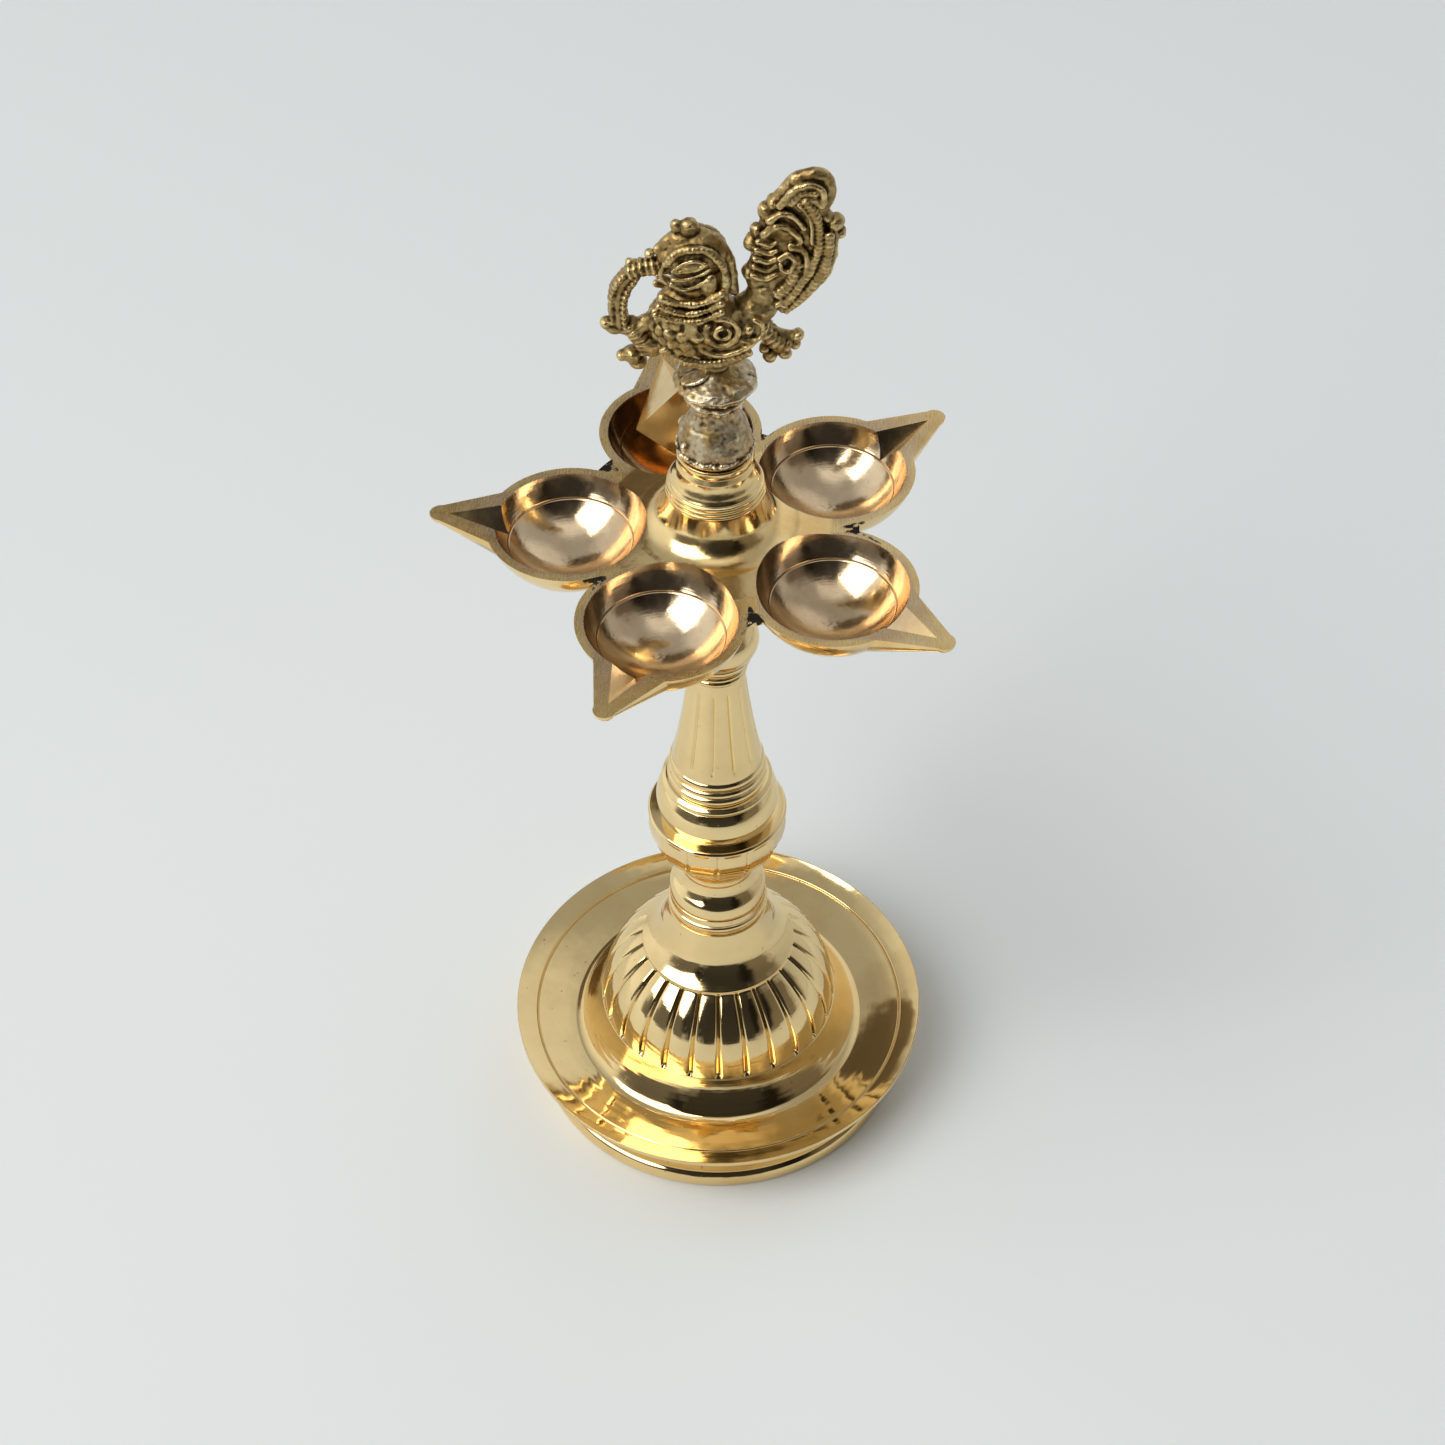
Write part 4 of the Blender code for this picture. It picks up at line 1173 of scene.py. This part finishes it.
def make_world():
    """A pale room with brighter patches above, behind and to the left, and dark ones mostly in front."""
    world = bpy.data.worlds.new("pale_room")
    bpy.context.scene.world = world
    world.use_nodes = True
    n = Nodes("world_helper")
    bpy.data.materials.remove(n.material)
    n.tree = world.node_tree
    direction = n.add("ShaderNodeTexCoord").outputs["Generated"]
    wobble = n.noise(direction, 4.0, 4.0, 0.6)
    z = n.split(direction)[2]
    glow = n.remap(z, 0.0, 0.7, 0.58, 0.42)
    for towards, core, edge, amount in (
        ((0.42, 0.72, 0.55), 8, 32, 0.36),
        ((-0.92, 0.28, 0.32), 12, 48, 0.45),
        ((0.0, -0.30, 0.95), 12, 28, 0.48),
    ):
        lift = patch(n, direction, towards, core, edge, 0.10, wobble)
        glow = n.plus(glow, n.times(lift, amount))
    warm = 0.0
    for towards, core, edge, amount, warmth in (
        ((0.12, -0.84, 0.46), 33, 46, 0.92, 0.3),
        ((-0.72, -0.62, 0.22), 20, 32, 0.72, 0.3),
        ((0.80, -0.48, 0.34), 22, 33, 0.66, 0.6),
        ((-0.27, 0.80, 0.53), 14, 19, 0.74, 1.0),
    ):
        shade = patch(n, direction, towards, core, edge, 0.28 if core > 15 else 0.10, wobble)
        glow = n.times(glow, n.minus(1.0, n.times(shade, amount)))
        warm = n.math("MAXIMUM", warm, n.times(shade, warmth))
    tint = n.mix(warm, colour(0.96, 0.985, 1.0), colour(1.0, 0.80, 0.55))
    background = n.tree.nodes["Background"]
    n.put(tint, background.inputs["Color"])
    n.put(glow, background.inputs["Strength"])


def make_camera():
    """The viewer looks down on the lamp from in front."""
    camera = bpy.data.cameras.new("viewer")
    camera.sensor_width = 36.0
    camera.lens = 70.84
    holder = bpy.data.objects.new("viewer", camera)
    place = Matrix.Translation(AXIS + VIEW_FROM * MM)
    pitch = Matrix.Rotation(math.radians(90 - VIEW_DOWN), 4, "X")
    roll = Matrix.Rotation(math.radians(VIEW_ROLL), 4, "Z")
    holder.matrix_world = place @ pitch @ roll
    bpy.context.scene.collection.objects.link(holder)
    bpy.context.scene.camera = holder


make_floor()
make_world()
area_light("window", (-1.9, -1.2, 2.5), (0, 0, 0.1), (2.5, 2.6), 74.0, (1.0, 0.985, 0.96))
make_camera()
bpy.context.scene.view_settings.view_transform = "Standard"
